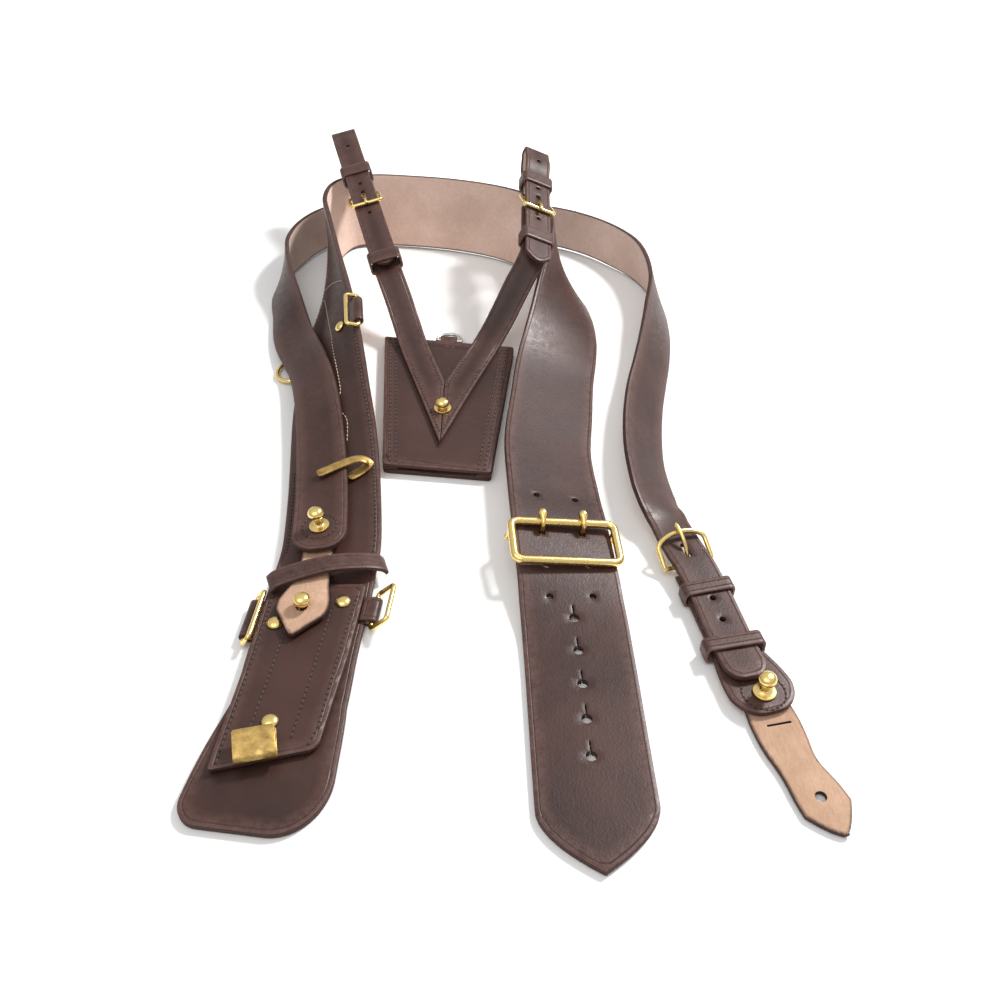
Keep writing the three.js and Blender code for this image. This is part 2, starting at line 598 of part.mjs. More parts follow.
function frogEdge(side, v) {
  const [a, b] = side < 0 ? [FROG.bottomLeft, FROG.topLeft] : [FROG.bottomRight, FROG.topRight];
  return [a[0] + (b[0] - a[0]) * v, a[1] + (b[1] - a[1]) * v];
}

function frog() {
  const { topLeft, topRight, bottomRight, bottomLeft } = FROG;
  const outline = [bottomLeft, bottomRight, topRight, topLeft];
  add('frog_back', plate(outline, FROG_T), LEATHER);
  const bores = [cylinder(STUD_BORE, 40, 10).translate(...FROG_STUD, FROG_FACE)];
  const frontZ = FROG_FACE - FROG_T;
  add('frog_front', cut(plate(outline, FROG_T).translate(0, 0, frontZ), bores), LEATHER);
  [['frog_welt_left', -1], ['frog_welt_right', 1]].forEach(([name, side]) => {
    const [low, high] = [frogEdge(side, 0), frogEdge(side, 1)];
    const inset = -side * 10;
    const strip = [low, [low[0] + inset, low[1]], [high[0] + inset, high[1]], high];
    const points = side < 0 ? strip : strip.reverse();
    add(name, plate(points, WELT_T).translate(0, 0, FROG_T + GAP), LEATHER);
  });
  fastener('frog_stud', at(...FROG_STUD, FROG_FACE + GAP + THIN_T), SHORT_STUD, 0);
}

function frogRing() {
  const group = at(-83.5, 333.5, 4.1, rad(-8));
  add('frog_ring', wireRing(deeOutline(9.5).map(([x, y]) => [x, y]), 1.4), STEEL, group);
  const loop = cut(cylinder(3.2, 12, 12), [cylinder(1.75, 20, 12)]).rotateX(Math.PI / 2).rotateZ(Math.PI / 2);
  add('frog_ring_loop', loop, LEATHER, group);
}

// ---- hanger straps: lower run from the frog, upper loop folded back through a buckle ----
const LOOP_GAP = 4;
const LOOPS = {
  left: {
    tip: [-132.5, 377, 46], top: [-184, 555, 80], roll: 10,
    buckle: 96, keepers: [9, 126], holes: [66, 106, 160],
  },
  right: {
    tip: [-15.5, 347, 64.4], top: [-13, 494.5, 88.4], roll: -24,
    buckle: 82, keepers: [30, 103], holes: [52, 92, 128],
  },
};
const LOOP_BUCKLE = { width: HANGER_W + 4.8, depth: 20 };

// The loop's own frame: Y runs from the billet tip up to the fold, Z out of the strap.
function loopGroup({ tip, top, roll }) {
  const along = V(...top).sub(V(...tip)).normalize();
  const across = along.clone().cross(UP).normalize();
  const out = across.clone().cross(along);
  const group = new THREE.Group();
  group.matrixAutoUpdate = false;
  group.matrix.makeBasis(across, along, out);
  group.matrix.setPosition(...tip);
  group.matrix.multiply(new THREE.Matrix4().makeRotationY(rad(-roll)));
  rig.add(group);
  return { group, length: V(...top).distanceTo(V(...tip)) };
}

function foldedLoop(name, spec) {
  const { group, length } = loopGroup(spec);
  const h = THIN_T / 2;
  const r = (LOOP_GAP + THIN_T) / 2;
  const bend = length - r - h;
  const start = spec.buckle + 5;
  const arc = (radius, from, to) => Array.from({ length: 7 }, (_, k) => {
    const a = from + ((to - from) * k) / 6;
    return [bend + radius * Math.cos(a), -r + radius * Math.sin(a)];
  });
  const outline = [[0, -h], ...arc(r - h, Math.PI / 2, -Math.PI / 2), [start, -2 * r + h], [start, -2 * r - h],
    ...arc(r + h, -Math.PI / 2, Math.PI / 2), [0, h]];
  const side = plate(outline.reverse(), HANGER_W).translate(0, 0, -HANGER_W / 2);
  side.applyMatrix4(new THREE.Matrix4().makeBasis(V(0, 1, 0), V(0, 0, 1), V(1, 0, 0)));
  const half = HANGER_W / 2;
  const tip = [[-half, 8], [-4.5, 2], [0, 0], [4.5, 2], [half, 8]];
  const plan = plate([...tip, [half, length + 5], [-half, length + 5]], 40);
  const pointed = common(side, plan.translate(0, 0, -20));
  const holes = spec.holes.map((y) => cylinder(1.7, 4, 10).translate(0, y, 0));
  const slot = new THREE.BoxGeometry(3.4, 12, 4).translate(0, spec.buckle - 5.5, 0);
  add(`${name}_loop_strap`, cut(pointed, [...holes, slot]), LEATHER, group);
  const buckle = new THREE.Group();
  buckle.position.set(0, spec.buckle, 0);
  buckle.rotation.z = Math.PI;
  group.add(buckle);
  const { width, depth } = LOOP_BUCKLE;
  const ring = roundedRect(width, depth, 2.2).map(([x, y]) => [x, y + depth / 2]);
  strapBuckle(`${name}_buckle`, buckle, ring, depth, THIN_T);
  spec.keepers.forEach((y, k) => {
    const seatGroup = new THREE.Group();
    seatGroup.position.set(0, y, -(LOOP_GAP + THIN_T) / 2);
    group.add(seatGroup);
    const depth = 2 * THIN_T + LOOP_GAP + 1;
    keeper(`${name}_keeper_${k ? 'upper' : 'lower'}`, seatGroup, HANGER_W + 2, depth, 12, 1.5);
  });
}

function hangerStrap(name, route, keep, bores) {
  const box = new THREE.BoxGeometry(200, 600, 200).translate(MITRE_X + keep * (100 + GAP / 2), 400, 0);
  const lower = common(strap(route, THIN_T, even(HANGER_W / 2)), box);
  add(`${name}_hanger_strap`, cut(lower, bores), LEATHER);
}

// ---- assemble ----
function build() {
  waistBelt();
  mainBuckle();
  overlay();
  hookPlate();
  flatHook();
  keeperLoop();
  edgeRings();
  crossStrap();
  leftTongue();
  chapeEnd();
  frog();
  frogRing();
  const studBore = () => [cylinder(STUD_BORE, 20, 10).translate(...FROG_STUD, FROG_FACE)];
  hangerStrap('left', LEFT_HANGER_ROUTE, -1, studBore());
  hangerStrap('right', RIGHT_HANGER_ROUTE, 1, studBore());
  foldedLoop('left', LOOPS.left);
  foldedLoop('right', LOOPS.right);
}

build();

export default rig;
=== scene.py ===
"""Looks for the sword belt rig: leather cut from flat hides and bent along each strap's path,
brass and steel hardware, and stitching. Lengths are millimetres until a mesh is made."""
import math

import bpy
import numpy as np
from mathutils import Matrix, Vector
from mathutils.geometry import delaunay_2d_cdt


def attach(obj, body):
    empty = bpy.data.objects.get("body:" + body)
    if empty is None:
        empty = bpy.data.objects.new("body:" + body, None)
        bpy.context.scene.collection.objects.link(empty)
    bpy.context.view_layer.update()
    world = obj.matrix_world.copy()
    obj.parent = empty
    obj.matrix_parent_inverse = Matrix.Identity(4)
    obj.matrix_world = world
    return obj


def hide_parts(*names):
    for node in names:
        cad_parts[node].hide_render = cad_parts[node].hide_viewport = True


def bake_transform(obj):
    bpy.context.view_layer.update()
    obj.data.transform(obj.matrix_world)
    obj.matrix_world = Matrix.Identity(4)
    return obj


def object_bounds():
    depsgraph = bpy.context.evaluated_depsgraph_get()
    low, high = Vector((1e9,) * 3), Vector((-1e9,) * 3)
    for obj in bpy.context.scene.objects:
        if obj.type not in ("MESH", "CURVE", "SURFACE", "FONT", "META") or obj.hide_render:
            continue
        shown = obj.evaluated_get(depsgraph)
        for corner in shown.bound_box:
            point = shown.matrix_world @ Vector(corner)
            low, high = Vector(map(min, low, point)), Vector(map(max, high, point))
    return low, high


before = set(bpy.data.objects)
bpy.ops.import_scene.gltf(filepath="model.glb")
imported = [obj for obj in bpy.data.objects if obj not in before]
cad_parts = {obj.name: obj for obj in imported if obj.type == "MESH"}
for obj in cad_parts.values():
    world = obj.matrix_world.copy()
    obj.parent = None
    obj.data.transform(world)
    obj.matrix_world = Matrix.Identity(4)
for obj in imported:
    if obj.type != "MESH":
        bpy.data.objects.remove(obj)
CAD_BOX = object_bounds()
MM = 0.001
UP = np.array([0.0, 0.0, 1.0])

# ---- sizes of the straps and hardware, as in the CAD model ----
GAP = 0.4
BELT_W, BELT_T = 60, 4
STRAP_W, STRAP_T = 33, 3.5
BILLET_W = 24
HANGER_W = 21
THIN_T = 3
PANEL_T = 3
FROG_T = 2.6
WELT_T = 2.2
WIRE_R = 1.5
BAR_R = 2.2
PIN_R = 1.6
PRONG_SPREAD = 12.5
PRONG_HOLES = (63.4, 84.8, 140.7)
MAIN_WIDTH, MAIN_DEPTH = 68, 34
MAIN_Y = 99
PIVOT_Y = 10.7
OVERLAY_Z = 5.4
OVERLAY_FACE = OVERLAY_Z + PANEL_T
FROG_FACE = 2 * FROG_T + WELT_T + 2 * GAP
FROG_STUD = (-84, 236)
MITRE_X = -84
LOOP_GAP = 4
LOOP_BUCKLE_DEPTH = 20
KEEPER_LOOP_W = 13
KEEPER_WALL = 1.5
FLAT_HOOK_W, FLAT_HOOK_T = 6.6, 1.4
HOOK_PLATE_W, HOOK_PLATE_T = 21, 1.2
CROSS_STUD_Y = 112
CROSS_BUCKLE_Y = 92
KEY_SLOTS = [48.8 - 22.4 * k for k in range(5)]

# ---- strap paths: x, y, z and the strap's turn about its own direction in degrees ----
BELT_ROWS = [
    (4, -102, 2, 0), (2, -55, 2, 0), (0, 0, 2, 0), (-1, 25, 2.15, 0), (-2, 45, 3.1, -1), (-3, 60, 5, -4),
    (-4, 76, 7.7, -6.5), (-6, 98, 11.2, -9), (-8, 122, 12.8, -11.5), (-10, 150, 11.6, -14),
    (-12, 194, 11, -16.5), (-8, 238, 11.2, -18), (-4, 278, 12.6, -21), (1, 308, 15.4, -26),
    (5, 335, 19, -34), (7, 365, 23.6, -46), (6, 394, 28, -62), (0, 425, 30.8, -85),
    (-14, 453, 30, -104), (-34, 475, 29, -112), (-58, 488, 28.8, -114), (-90, 498, 28.8, -114),
    (-125, 504, 28.8, -114), (-156, 505, 29.4, -110), (-179, 495, 30.2, -104), (-188, 467, 30.6, -95),
    (-185, 432, 30.6, -86), (-179, 381, 29.8, -72), (-173, 329, 25.6, -52), (-167, 280, 20, -36),
    (-162, 241, 15.2, -25), (-157, 209, 11.2, -16), (-153, 180, 8.4, -11), (-149, 145, 6.6, -8),
    (-146, 108, 4.8, -4), (-147, 86, 3.3, -2), (-148.5, 66, 2.4, 0), (-150, 50, 2.1, 0),
    (-152, 25, 2, 0), (-154, -11, 2, 0), (-159, -45, 2, 0), (-164, -82, 2, 0),
]
CROSS_ROWS = [
    (-151, 93, 14.9, 4), (-155.5, 142, 14.1, 8), (-164, 199, 15.6, 15), (-173, 244, 18, 25),
    (-184, 281, 17.4, 33), (-202, 327, 12.4, 29), (-213, 367, 14.8, 46), (-221, 398, 15.9, 56),
    (-223, 425, 17.7, 76), (-221, 448, 17.9, 92), (-212, 476, 17.6, 104), (-196, 499, 17, 112),
    (-172, 513, 16.7, 114), (-135, 518, 16.7, 114), (-90, 517, 16.7, 114), (-45, 511, 16.7, 114),
    (0, 500, 16.8, 114), (30, 484, 16.9, 112), (54, 461, 17.2, 108), (72, 432, 17.5, 92),
    (81, 390, 17, 72), (78, 347, 15, 53), (72, 310, 13.6, 45), (65, 278, 12.9, 42),
    (58, 247, 12.3, 38), (53, 213, 11.7, 36), (51, 179, 11.5, 35), (54, 142, 11, 28),
    (58.5, 126, 9.8, 11), (62.5, 110, 9.7, 1), (66.5, 97, 9.7, 0), (71, 84, 9.4, 0),
    (77, 60, 8, 0), (83, 27, 8.3, 0), (88.5, 3, 9.8, 0),
]
CHAPE_ROWS = [(71.5, 84, 4), (77, 60, 3.9), (84, 26, 4.4), (93, -2, 5.4), (97, -16, 5.6)]
TONGUE_ROWS = [(92, 4, 1.8), (94.5, -7, 1.8), (97, -19, 1.8), (102, -41, 1.8), (110, -62, 1.8),
               (118, -83, 1.8)]
LEFT_TONGUE_ROWS = [(-153.5, 111, 9.8, -4), (-152, 92, 9.9, -2), (-152, 68, 11.9, 0), (-158, 30, 11.9, 0)]
KEEPER_ROWS = [(-176.5, 68.5, 10.8), (-170, 71, 14.6), (-146, 79, 17), (-126, 84, 14.6), (-115, 87, 10.5),
               (-111.8, 88, 6.5)]
HOOK_ROWS = [(-141, 160, 13.4, -6), (-133, 166, 14.4, -6), (-128.6, 169, 17.4, -4),
             (-131, 169.5, 20.6, -4), (-139, 168, 21.4, -4), (-160, 157, 18.8, 0)]
LEFT_HANGER_ROWS = [(-70.4, 189, 10.2, 0), (-82.6, 229, 10.2, 0), (-96.4, 274, 10.2, 0),
                    (-108.4, 313, 10.8, 0), (-116.2, 339, 17, 3), (-123.3, 357, 29, 8),
                    (-129.2, 371, 37.6, 11)]
RIGHT_HANGER_ROWS = [(-98.8, 190, 10.2, 0), (-86.9, 225, 10.2, 0), (-71.6, 270, 10.3, 0), (-56, 312, 11.2, 0),
                     (-44, 332, 23, -8), (-30, 351, 44, -16), (-21, 361, 57, -22)]
LOOPS = {
    "left": {"tip": (-132.5, 377, 46), "top": (-184, 555, 80), "roll": 10, "buckle": 96, "keepers": (9, 126),
             "holes": (66, 106, 160)},
    "right": {"tip": (-15.5, 347, 64.4), "top": (-13, 494.5, 88.4), "roll": -24, "buckle": 82,
              "keepers": (30, 103), "holes": (52, 92, 128)},
}

# ---- camera, light and floor ----
CAMERA_AT = (-0.044, -0.325, 0.431)
CAMERA_TILT = 48


def add_camera():
    data = bpy.data.cameras.new("camera")
    data.sensor_width = 36
    data.lens = 36
    data.clip_start, data.clip_end = 0.01, 100
    camera = bpy.data.objects.new("camera", data)
    camera.location = CAMERA_AT
    camera.rotation_euler = (math.radians(CAMERA_TILT), 0, 0)
    bpy.context.scene.collection.objects.link(camera)
    bpy.context.scene.camera = camera


def add_area(name, at, target, size, power):
    data = bpy.data.lights.new(name, "AREA")
    data.shape = "DISK"
    data.size = size
    data.energy = power
    light = bpy.data.objects.new(name, data)
    light.location = at
    light.rotation_euler = (Vector(target) - Vector(at)).to_track_quat("-Z", "Y").to_euler()
    bpy.context.scene.collection.objects.link(light)


add_camera()
MIDDLE = (-0.05, 0.2, 0)
add_area("key", (0.95, 0.95, 1.35), MIDDLE, 0.3, 40)
add_area("fill", (-0.5, -0.5, 1.6), MIDDLE, 1.6, 8)


# ---- node helpers ----
class Tree:
    """A material's or world's node tree, built link by link."""

    def __init__(self, tree):
        self.tree = tree
        self.tree.nodes.clear()

    def node(self, kind, inputs=None, **settings):
        made = self.tree.nodes.new(kind)
        for key, value in settings.items():
            setattr(made, key, value)
        for key, value in (inputs or {}).items():
            if isinstance(value, bpy.types.NodeSocket):
                self.tree.links.new(value, made.inputs[key])
            else:
                made.inputs[key].default_value = value
        return made

    def noise(self, at, scale, detail=3, roughness=0.5, distortion=0):
        inputs = {"Vector": at, "Scale": scale, "Detail": detail, "Roughness": roughness,
                  "Distortion": distortion}
        return self.node("ShaderNodeTexNoise", inputs).outputs["Fac"]

    def ramp(self, value, stops):
        made = self.node("ShaderNodeValToRGB", {"Fac": value})
        elements = made.color_ramp.elements
        while len(elements) < len(stops):
            elements.new(0.5)
        for element, (where, color) in zip(elements, stops):
            element.position = where
            element.color = color if len(color) == 4 else (*color, 1)
        return made.outputs["Color"]

    def grey(self, value, *stops):
        return self.ramp(value, [(where, (level,) * 3) for where, level in stops])

    def math(self, operation, a, b=0.0):
        return self.node("ShaderNodeMath", {0: a, 1: b}, operation=operation).outputs[0]

    def mix(self, factor, a, b):
        made = self.node("ShaderNodeMix", data_type="RGBA")
        for key, value in (("Factor_Float", factor), ("A_Color", a), ("B_Color", b)):
            socket = next(s for s in made.inputs if s.identifier == key)
            if isinstance(value, bpy.types.NodeSocket):
                self.tree.links.new(value, socket)
            else:
                socket.default_value = (*value, 1) if isinstance(value, tuple) and len(value) == 3 else value
        return next(s for s in made.outputs if s.identifier == "Result_Color")

    def bump(self, height, distance, strength=1.0, normal=None):
        inputs = {"Height": height, "Distance": distance, "Strength": strength}
        if normal is not None:
            inputs["Normal"] = normal
        return self.node("ShaderNodeBump", inputs).outputs["Normal"]


def shader(name, paint):
    """A material whose look comes from paint(tree), which returns the Principled shader's inputs."""
    made = bpy.data.materials.new(name)
    made.use_nodes = True
    tree = Tree(made.node_tree)
    surface = tree.node("ShaderNodeBsdfPrincipled", paint(tree))
    tree.node("ShaderNodeOutputMaterial", {"Surface": surface.outputs["BSDF"]})
    return made


def place(tree, stretch=(1, 1, 1)):
    at = tree.node("ShaderNodeTexCoord").outputs["Object"]
    if stretch == (1, 1, 1):
        return at
    return tree.node("ShaderNodeMapping", {"Vector": at, "Scale": stretch}).outputs["Vector"]


def attribute(tree, name):
    return tree.node("ShaderNodeAttribute", attribute_name=name).outputs["Fac"]


def leather_paint(deep, middle, bright, gloss=0.42):
    """Grain side of dyed hide: mottled dye, fine pores, worn rims and a creased line inside each edge,
    painted darker as shade in its groove.
    """

    def paint(tree):
        at = place(tree)
        rim = attribute(tree, "rim")
        crease = attribute(tree, "crease")
        cloud = tree.noise(at, 16, 4, 0.6)
        fine = tree.noise(at, 240, 4, 0.65)
        cells = tree.node("ShaderNodeTexVoronoi", {"Vector": at, "Scale": 820.0, "Randomness": 1.0})
        pores = cells.outputs["Distance"]
        wrinkle = tree.noise(place(tree, (1, 0.35, 1)), 130, 5, 0.7, 0.6)
        color = tree.ramp(cloud, [(0.25, deep), (0.5, middle), (0.78, bright)])
        color = tree.mix(tree.grey(fine, (0.35, 0.0), (0.75, 0.35)), color, deep)
        rubbed = tree.grey(fine, (0.35, 0.25), (0.6, 1.0))
        worn = tree.math("MULTIPLY", tree.grey(rim, (0.0, 1.0), (0.9, 0.0)), rubbed)
        pale = tuple(min(1, c * 1.9 + 0.02) for c in bright)
        color = tree.mix(tree.math("MULTIPLY", worn, 0.55), color, pale)
        # The creased line inside each edge and the hem creases are painted darker: painted shade in their
        # grooves, which the bump also sinks.
        line = tree.grey(tree.math("ABSOLUTE", tree.math("SUBTRACT", rim, 0.24)), (0.0, 1.0), (0.05, 0.0))
        line = tree.math("MAXIMUM", line, tree.grey(crease, (0.0, 1.0), (0.07, 0.0)))
        color = tree.mix(tree.math("MULTIPLY", line, 0.5), color, tuple(c * 0.35 for c in deep))
        normal = tree.bump(pores, 0.00022, 0.28)
        normal = tree.bump(wrinkle, 0.0005, 0.22, normal)
        normal = tree.bump(tree.math("SUBTRACT", 1.0, line), 0.0004, 0.7, normal)
        return {"Base Color": color, "Roughness": tree.grey(fine, (0.3, gloss - 0.08), (0.7, gloss + 0.12)),
                "Specular IOR Level": 0.3, "Coat Weight": 0.08, "Coat Roughness": 0.3, "Normal": normal}

    return paint


def flesh_paint(stain, deep, middle, bright):
    """Undyed inner side of the hide: pale, fibrous and slightly soiled."""

    def paint(tree):
        at = place(tree)
        rim = attribute(tree, "rim")
        cloud = tree.noise(at, 22, 4, 0.6)
        fibre = tree.noise(place(tree, (1, 0.4, 1)), 520, 4, 0.7, 0.8)
        fleck = tree.noise(at, 900, 2, 0.5)
        color = tree.ramp(cloud, [(0.28, deep), (0.5, middle), (0.75, bright)])
        color = tree.mix(tree.grey(fibre, (0.35, 0.0), (0.8, 0.5)), color, stain)
        color = tree.mix(tree.grey(fleck, (0.66, 0.0), (0.78, 0.6)), color, (0.20, 0.11, 0.075))
        patchy = tree.grey(fibre, (0.3, 0.5), (0.7, 1.0))
        dyed = tree.math("MULTIPLY", tree.grey(rim, (0.05, 1.0), (0.16, 0.0)), patchy)
        color = tree.mix(dyed, color, (0.075, 0.035, 0.028))
        normal = tree.bump(fibre, 0.0006, 0.45)
        normal = tree.bump(fleck, 0.0003, 0.3, normal)
        return {"Base Color": color, "Roughness": 0.88, "Specular IOR Level": 0.2, "Sheen Weight": 0.25,
                "Sheen Roughness": 0.5, "Normal": normal}

    return paint


def edge_paint(deep, bright):
    """Cut edge of the hide: burnished dark dye over layered fibres."""

    def paint(tree):
        layers = tree.noise(place(tree, (0.3, 0.3, 6)), 420, 4, 0.7, 0.5)
        rough = tree.noise(place(tree), 900, 3, 0.6)
        color = tree.ramp(layers, [(0.3, deep), (0.7, bright)])
        normal = tree.bump(layers, 0.0005, 0.5, tree.bump(rough, 0.0003, 0.5))
        return {"Base Color": color, "Roughness": tree.grey(rough, (0.3, 0.5), (0.7, 0.85)),
                "Specular IOR Level": 0.3, "Normal": normal}

    return paint


def metal_paint(bright, dull, gloss, tarnish):
    """Cast metal: polished on the whole, with fine scratches and patches of tarnish."""

    def paint(tree):
        at = place(tree)
        patch = tree.noise(at, 160, 5, 0.65, 0.4)
        scratch = tree.noise(place(tree, (1, 7, 1)), 500, 3, 0.6, 0.3)
        darkest = (0.85 - 0.2 * tarnish, min(1.0, 0.35 + tarnish))
        grime = tree.grey(patch, (0.5 - 0.25 * tarnish, 0.0), darkest)
        color = tree.mix(grime, bright, dull)
        rough = tree.math("ADD", tree.grey(scratch, (0.3, gloss), (0.75, gloss + 0.14)),
                          tree.math("MULTIPLY", grime, 0.22))
        return {"Base Color": color, "Metallic": 1.0, "Roughness": rough,
                "Normal": tree.bump(scratch, 0.0002, 0.12, tree.bump(patch, 0.0006, 0.12 + 0.2 * tarnish))}

    return paint


def thread_paint(deep, bright):
    """Waxed thread: a twist of plies, its colour painted darker in the grooves between plies and brighter on
    their crests: painted shade and painted highlight.
    """

    def paint(tree):
        ply = tree.node("ShaderNodeTexWave", {"Vector": place(tree), "Scale": 900.0, "Distortion": 3.0,
                                              "Detail": 1.0}, bands_direction="DIAGONAL").outputs["Fac"]
        # The ply pattern sets both the bump and the colour: painted shade in the grooves, painted highlight
        # on the crests.
        return {"Base Color": tree.ramp(ply, [(0.2, deep), (0.8, bright)]), "Roughness": 0.55,
                "Specular IOR Level": 0.4, "Normal": tree.bump(ply, 0.0002, 0.4)}

    return paint


# Near-black colour of the stitch-hole discs: painted shade standing in for the dark inside of each awl hole.
def hole_shade_paint(tree):
    at = place(tree)
    color = tree.ramp(tree.noise(at, 700, 2), [(0.3, (0.006, 0.004, 0.004)), (0.7, (0.02, 0.011, 0.01))])
    return {"Base Color": color, "Roughness": 0.9}


def floor_paint(tree):
    at = place(tree)
    cloud = tree.noise(at, 3, 4, 0.6)
    grain = tree.noise(at, 300, 3, 0.6)
    color = tree.ramp(cloud, [(0.3, (0.86, 0.85, 0.835)), (0.7, (0.90, 0.895, 0.885))])
    return {"Base Color": color, "Roughness": tree.grey(grain, (0.3, 0.65), (0.7, 0.8)),
            "Specular IOR Level": 0.2, "Normal": tree.bump(grain, 0.0003, 0.1)}


LEATHER = shader("leather",
                 leather_paint((0.021, 0.009, 0.0072), (0.046, 0.0185, 0.014), (0.072, 0.031, 0.024)))
FLESH = shader("flesh",
               flesh_paint((0.46, 0.31, 0.25), (0.56, 0.40, 0.325), (0.70, 0.515, 0.43), (0.80, 0.62, 0.54)))
TONGUE = shader("tongue", flesh_paint((0.26, 0.14, 0.085), (0.36, 0.215, 0.14), (0.46, 0.29, 0.195),
                                      (0.56, 0.37, 0.26)))
EDGE = shader("edge", edge_paint((0.030, 0.013, 0.011), (0.085, 0.042, 0.034)))
PALE_EDGE = shader("pale_edge", edge_paint((0.13, 0.065, 0.055), (0.27, 0.16, 0.14)))
BRASS = shader("brass", metal_paint((0.93, 0.70, 0.27), (0.55, 0.35, 0.11), 0.15, 0.1))
OLD_BRASS = shader("old_brass", metal_paint((0.72, 0.5, 0.17), (0.24, 0.14, 0.05), 0.28, 0.75))
STEEL = shader("steel", metal_paint((0.70, 0.69, 0.66), (0.32, 0.30, 0.28), 0.16, 0.2))
# Each thread has a darker tone for the painted shade in its ply grooves and a brighter one for the painted
# highlight on the crests.
THREAD = shader("thread", thread_paint((0.03, 0.014, 0.012), (0.13, 0.075, 0.062)))
LIGHT_THREAD = shader("light_thread", thread_paint((0.36, 0.24, 0.16), (0.72, 0.58, 0.44)))
# The hole material is painted shade: it darkens the flat discs that stand for the awl holes.
HOLE_SHADE = shader("hole", hole_shade_paint)
FLOOR = shader("floor", floor_paint)


def world_light():
    world = bpy.data.worlds.new("studio")
    world.use_nodes = True
    bpy.context.scene.world = world
    tree = Tree(world.node_tree)
    at = tree.node("ShaderNodeTexCoord").outputs["Generated"]
    height = tree.node("ShaderNodeSeparateXYZ", {"Vector": at}).outputs["Z"]
    sky = tree.grey(height, (0.0, 0.50), (0.35, 0.72), (1.0, 1))
    back = tree.node("ShaderNodeBackground", {"Color": sky, "Strength": 0.78})
    tree.node("ShaderNodeOutputWorld", {"Surface": back.outputs["Background"]})


world_light()
bpy.context.scene.view_settings.view_transform = "Standard"


def add_floor():
    half = 8.0
    z = CAD_BOX[0][2] - 0.0002
    mesh = bpy.data.meshes.new("floor")
    corners = [(-half, -half, z), (half, -half, z), (half, half, z), (-half, half, z)]
    mesh.from_pydata(corners, [], [(0, 1, 2, 3)])
    mesh.materials.append(FLOOR)
    floor = bpy.data.objects.new("floor", mesh)
    bpy.context.scene.collection.objects.link(floor)


add_floor()


# ---- making pieces ----
def finish_piece(name, verts, faces, materials, indices, body, nodes=(), attributes=None, sharp=40):
    """Makes the object from millimetre points and hands it to the frame."""
    mesh = bpy.data.meshes.new(name)
    mesh.from_pydata((np.asarray(verts, float) * MM).tolist(), [], faces)
    for m in materials:
        mesh.materials.append(m)
    mesh.polygons.foreach_set("material_index", np.asarray(indices, np.int32))
    mesh.polygons.foreach_set("use_smooth", np.ones(len(faces), bool))
    for key, values in (attributes or {}).items():
        layer = mesh.attributes.new(key, "FLOAT", "POINT")
        layer.data.foreach_set("value", np.asarray(values, np.float32))
    mesh.update()
    mesh.validate()
    mesh.set_sharp_from_angle(angle=math.radians(sharp))
    piece = bpy.data.objects.new(name, mesh)
    bpy.context.scene.collection.objects.link(piece)
    if body is not None:
        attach(piece, body)
    if nodes:
        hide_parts(*nodes)
    return piece


def unit(v):
    v = np.asarray(v, float)
    return v / np.maximum(np.linalg.norm(v, axis=-1, keepdims=True), 1e-12)


def smooth(points, dense=6):
    """Catmull-Rom through open points of any dimension."""
    r = np.array(points, float)
    ext = np.vstack([2 * r[0] - r[1], r, 2 * r[-1] - r[-2]])
    last = len(r) - 1
    u = np.linspace(0, last, last * dense + 1)
    i = np.minimum(u.astype(int), last - 1)
    t = (u - i)[:, None]
    a, b, c, d = ext[i], ext[i + 1], ext[i + 2], ext[i + 3]
    bend, twist = 2 * a - 5 * b + 4 * c - d, 3 * b - a - 3 * c + d
    return 0.5 * (2 * b + (c - a) * t + bend * t**2 + twist * t**3)


class Path:
    """A bent strip's middle surface: maps (across, along, height) in millimetres to space."""

    def __init__(self, p, w, n):
        self.p, self.w, self.n = (np.asarray(v, float) for v in (p, w, n))
        steps = np.linalg.norm(np.diff(self.p, axis=0), axis=1)
        self.along = np.concatenate([[0], np.cumsum(steps)])
        self.length = self.along[-1]

    @classmethod
    def rows(cls, rows, dense=24):
        """Catmull-Rom through rows of x, y, z and roll."""
        here = smooth([tuple(row) + (0,) * (4 - len(row)) for row in rows], dense)
        tangent = unit(np.gradient(here[:, :3], axis=0))
        side = unit(np.cross(tangent, UP))
        up = np.cross(side, tangent)
        roll = np.radians(here[:, 3:4])
        w = side * np.cos(roll) + up * np.sin(roll)
        return cls(here[:, :3], w, np.cross(w, tangent))

    def part(self, name, d):
        source = getattr(self, name)
        return np.stack([np.interp(d, self.along, source[:, k]) for k in range(3)], -1)

    def at(self, across, along, height):
        across, along, height = np.broadcast_arrays(*(np.asarray(v, float) for v in (across, along, height)))
        inside = np.clip(along, 0, self.length)
        p, w, n = self.part("p", inside), unit(self.part("w", inside)), unit(self.part("n", inside))
        over = (along - inside)[..., None] * np.cross(n, w)
        return p + over + w * across[..., None] + n * height[..., None]

    def find(self, y, low=0.0, high=1.0):
        """Distance along the path where its middle crosses y, within a share of its length."""
        keep = (self.along >= low * self.length) & (self.along <= high * self.length)
        along, ys = self.along[keep], self.p[keep, 1]
        k = np.nonzero(np.diff(np.sign(ys - y)))[0][0]
        share = (y - ys[k]) / (ys[k + 1] - ys[k])
        return along[k] + share * (along[k + 1] - along[k])

    def seat(self, along, across=0, lift=0, turn=0):
        """Frame standing on the strip: X across it, Y along it, Z out of it."""
        w, n = unit(self.part("w", along)), unit(self.part("n", along))
        origin = self.at(across, along, lift)
        c, s = math.cos(turn), math.sin(turn)
        t = np.cross(n, w)
        return Seat(origin, w * c + t * s, -w * s + t * c, n)


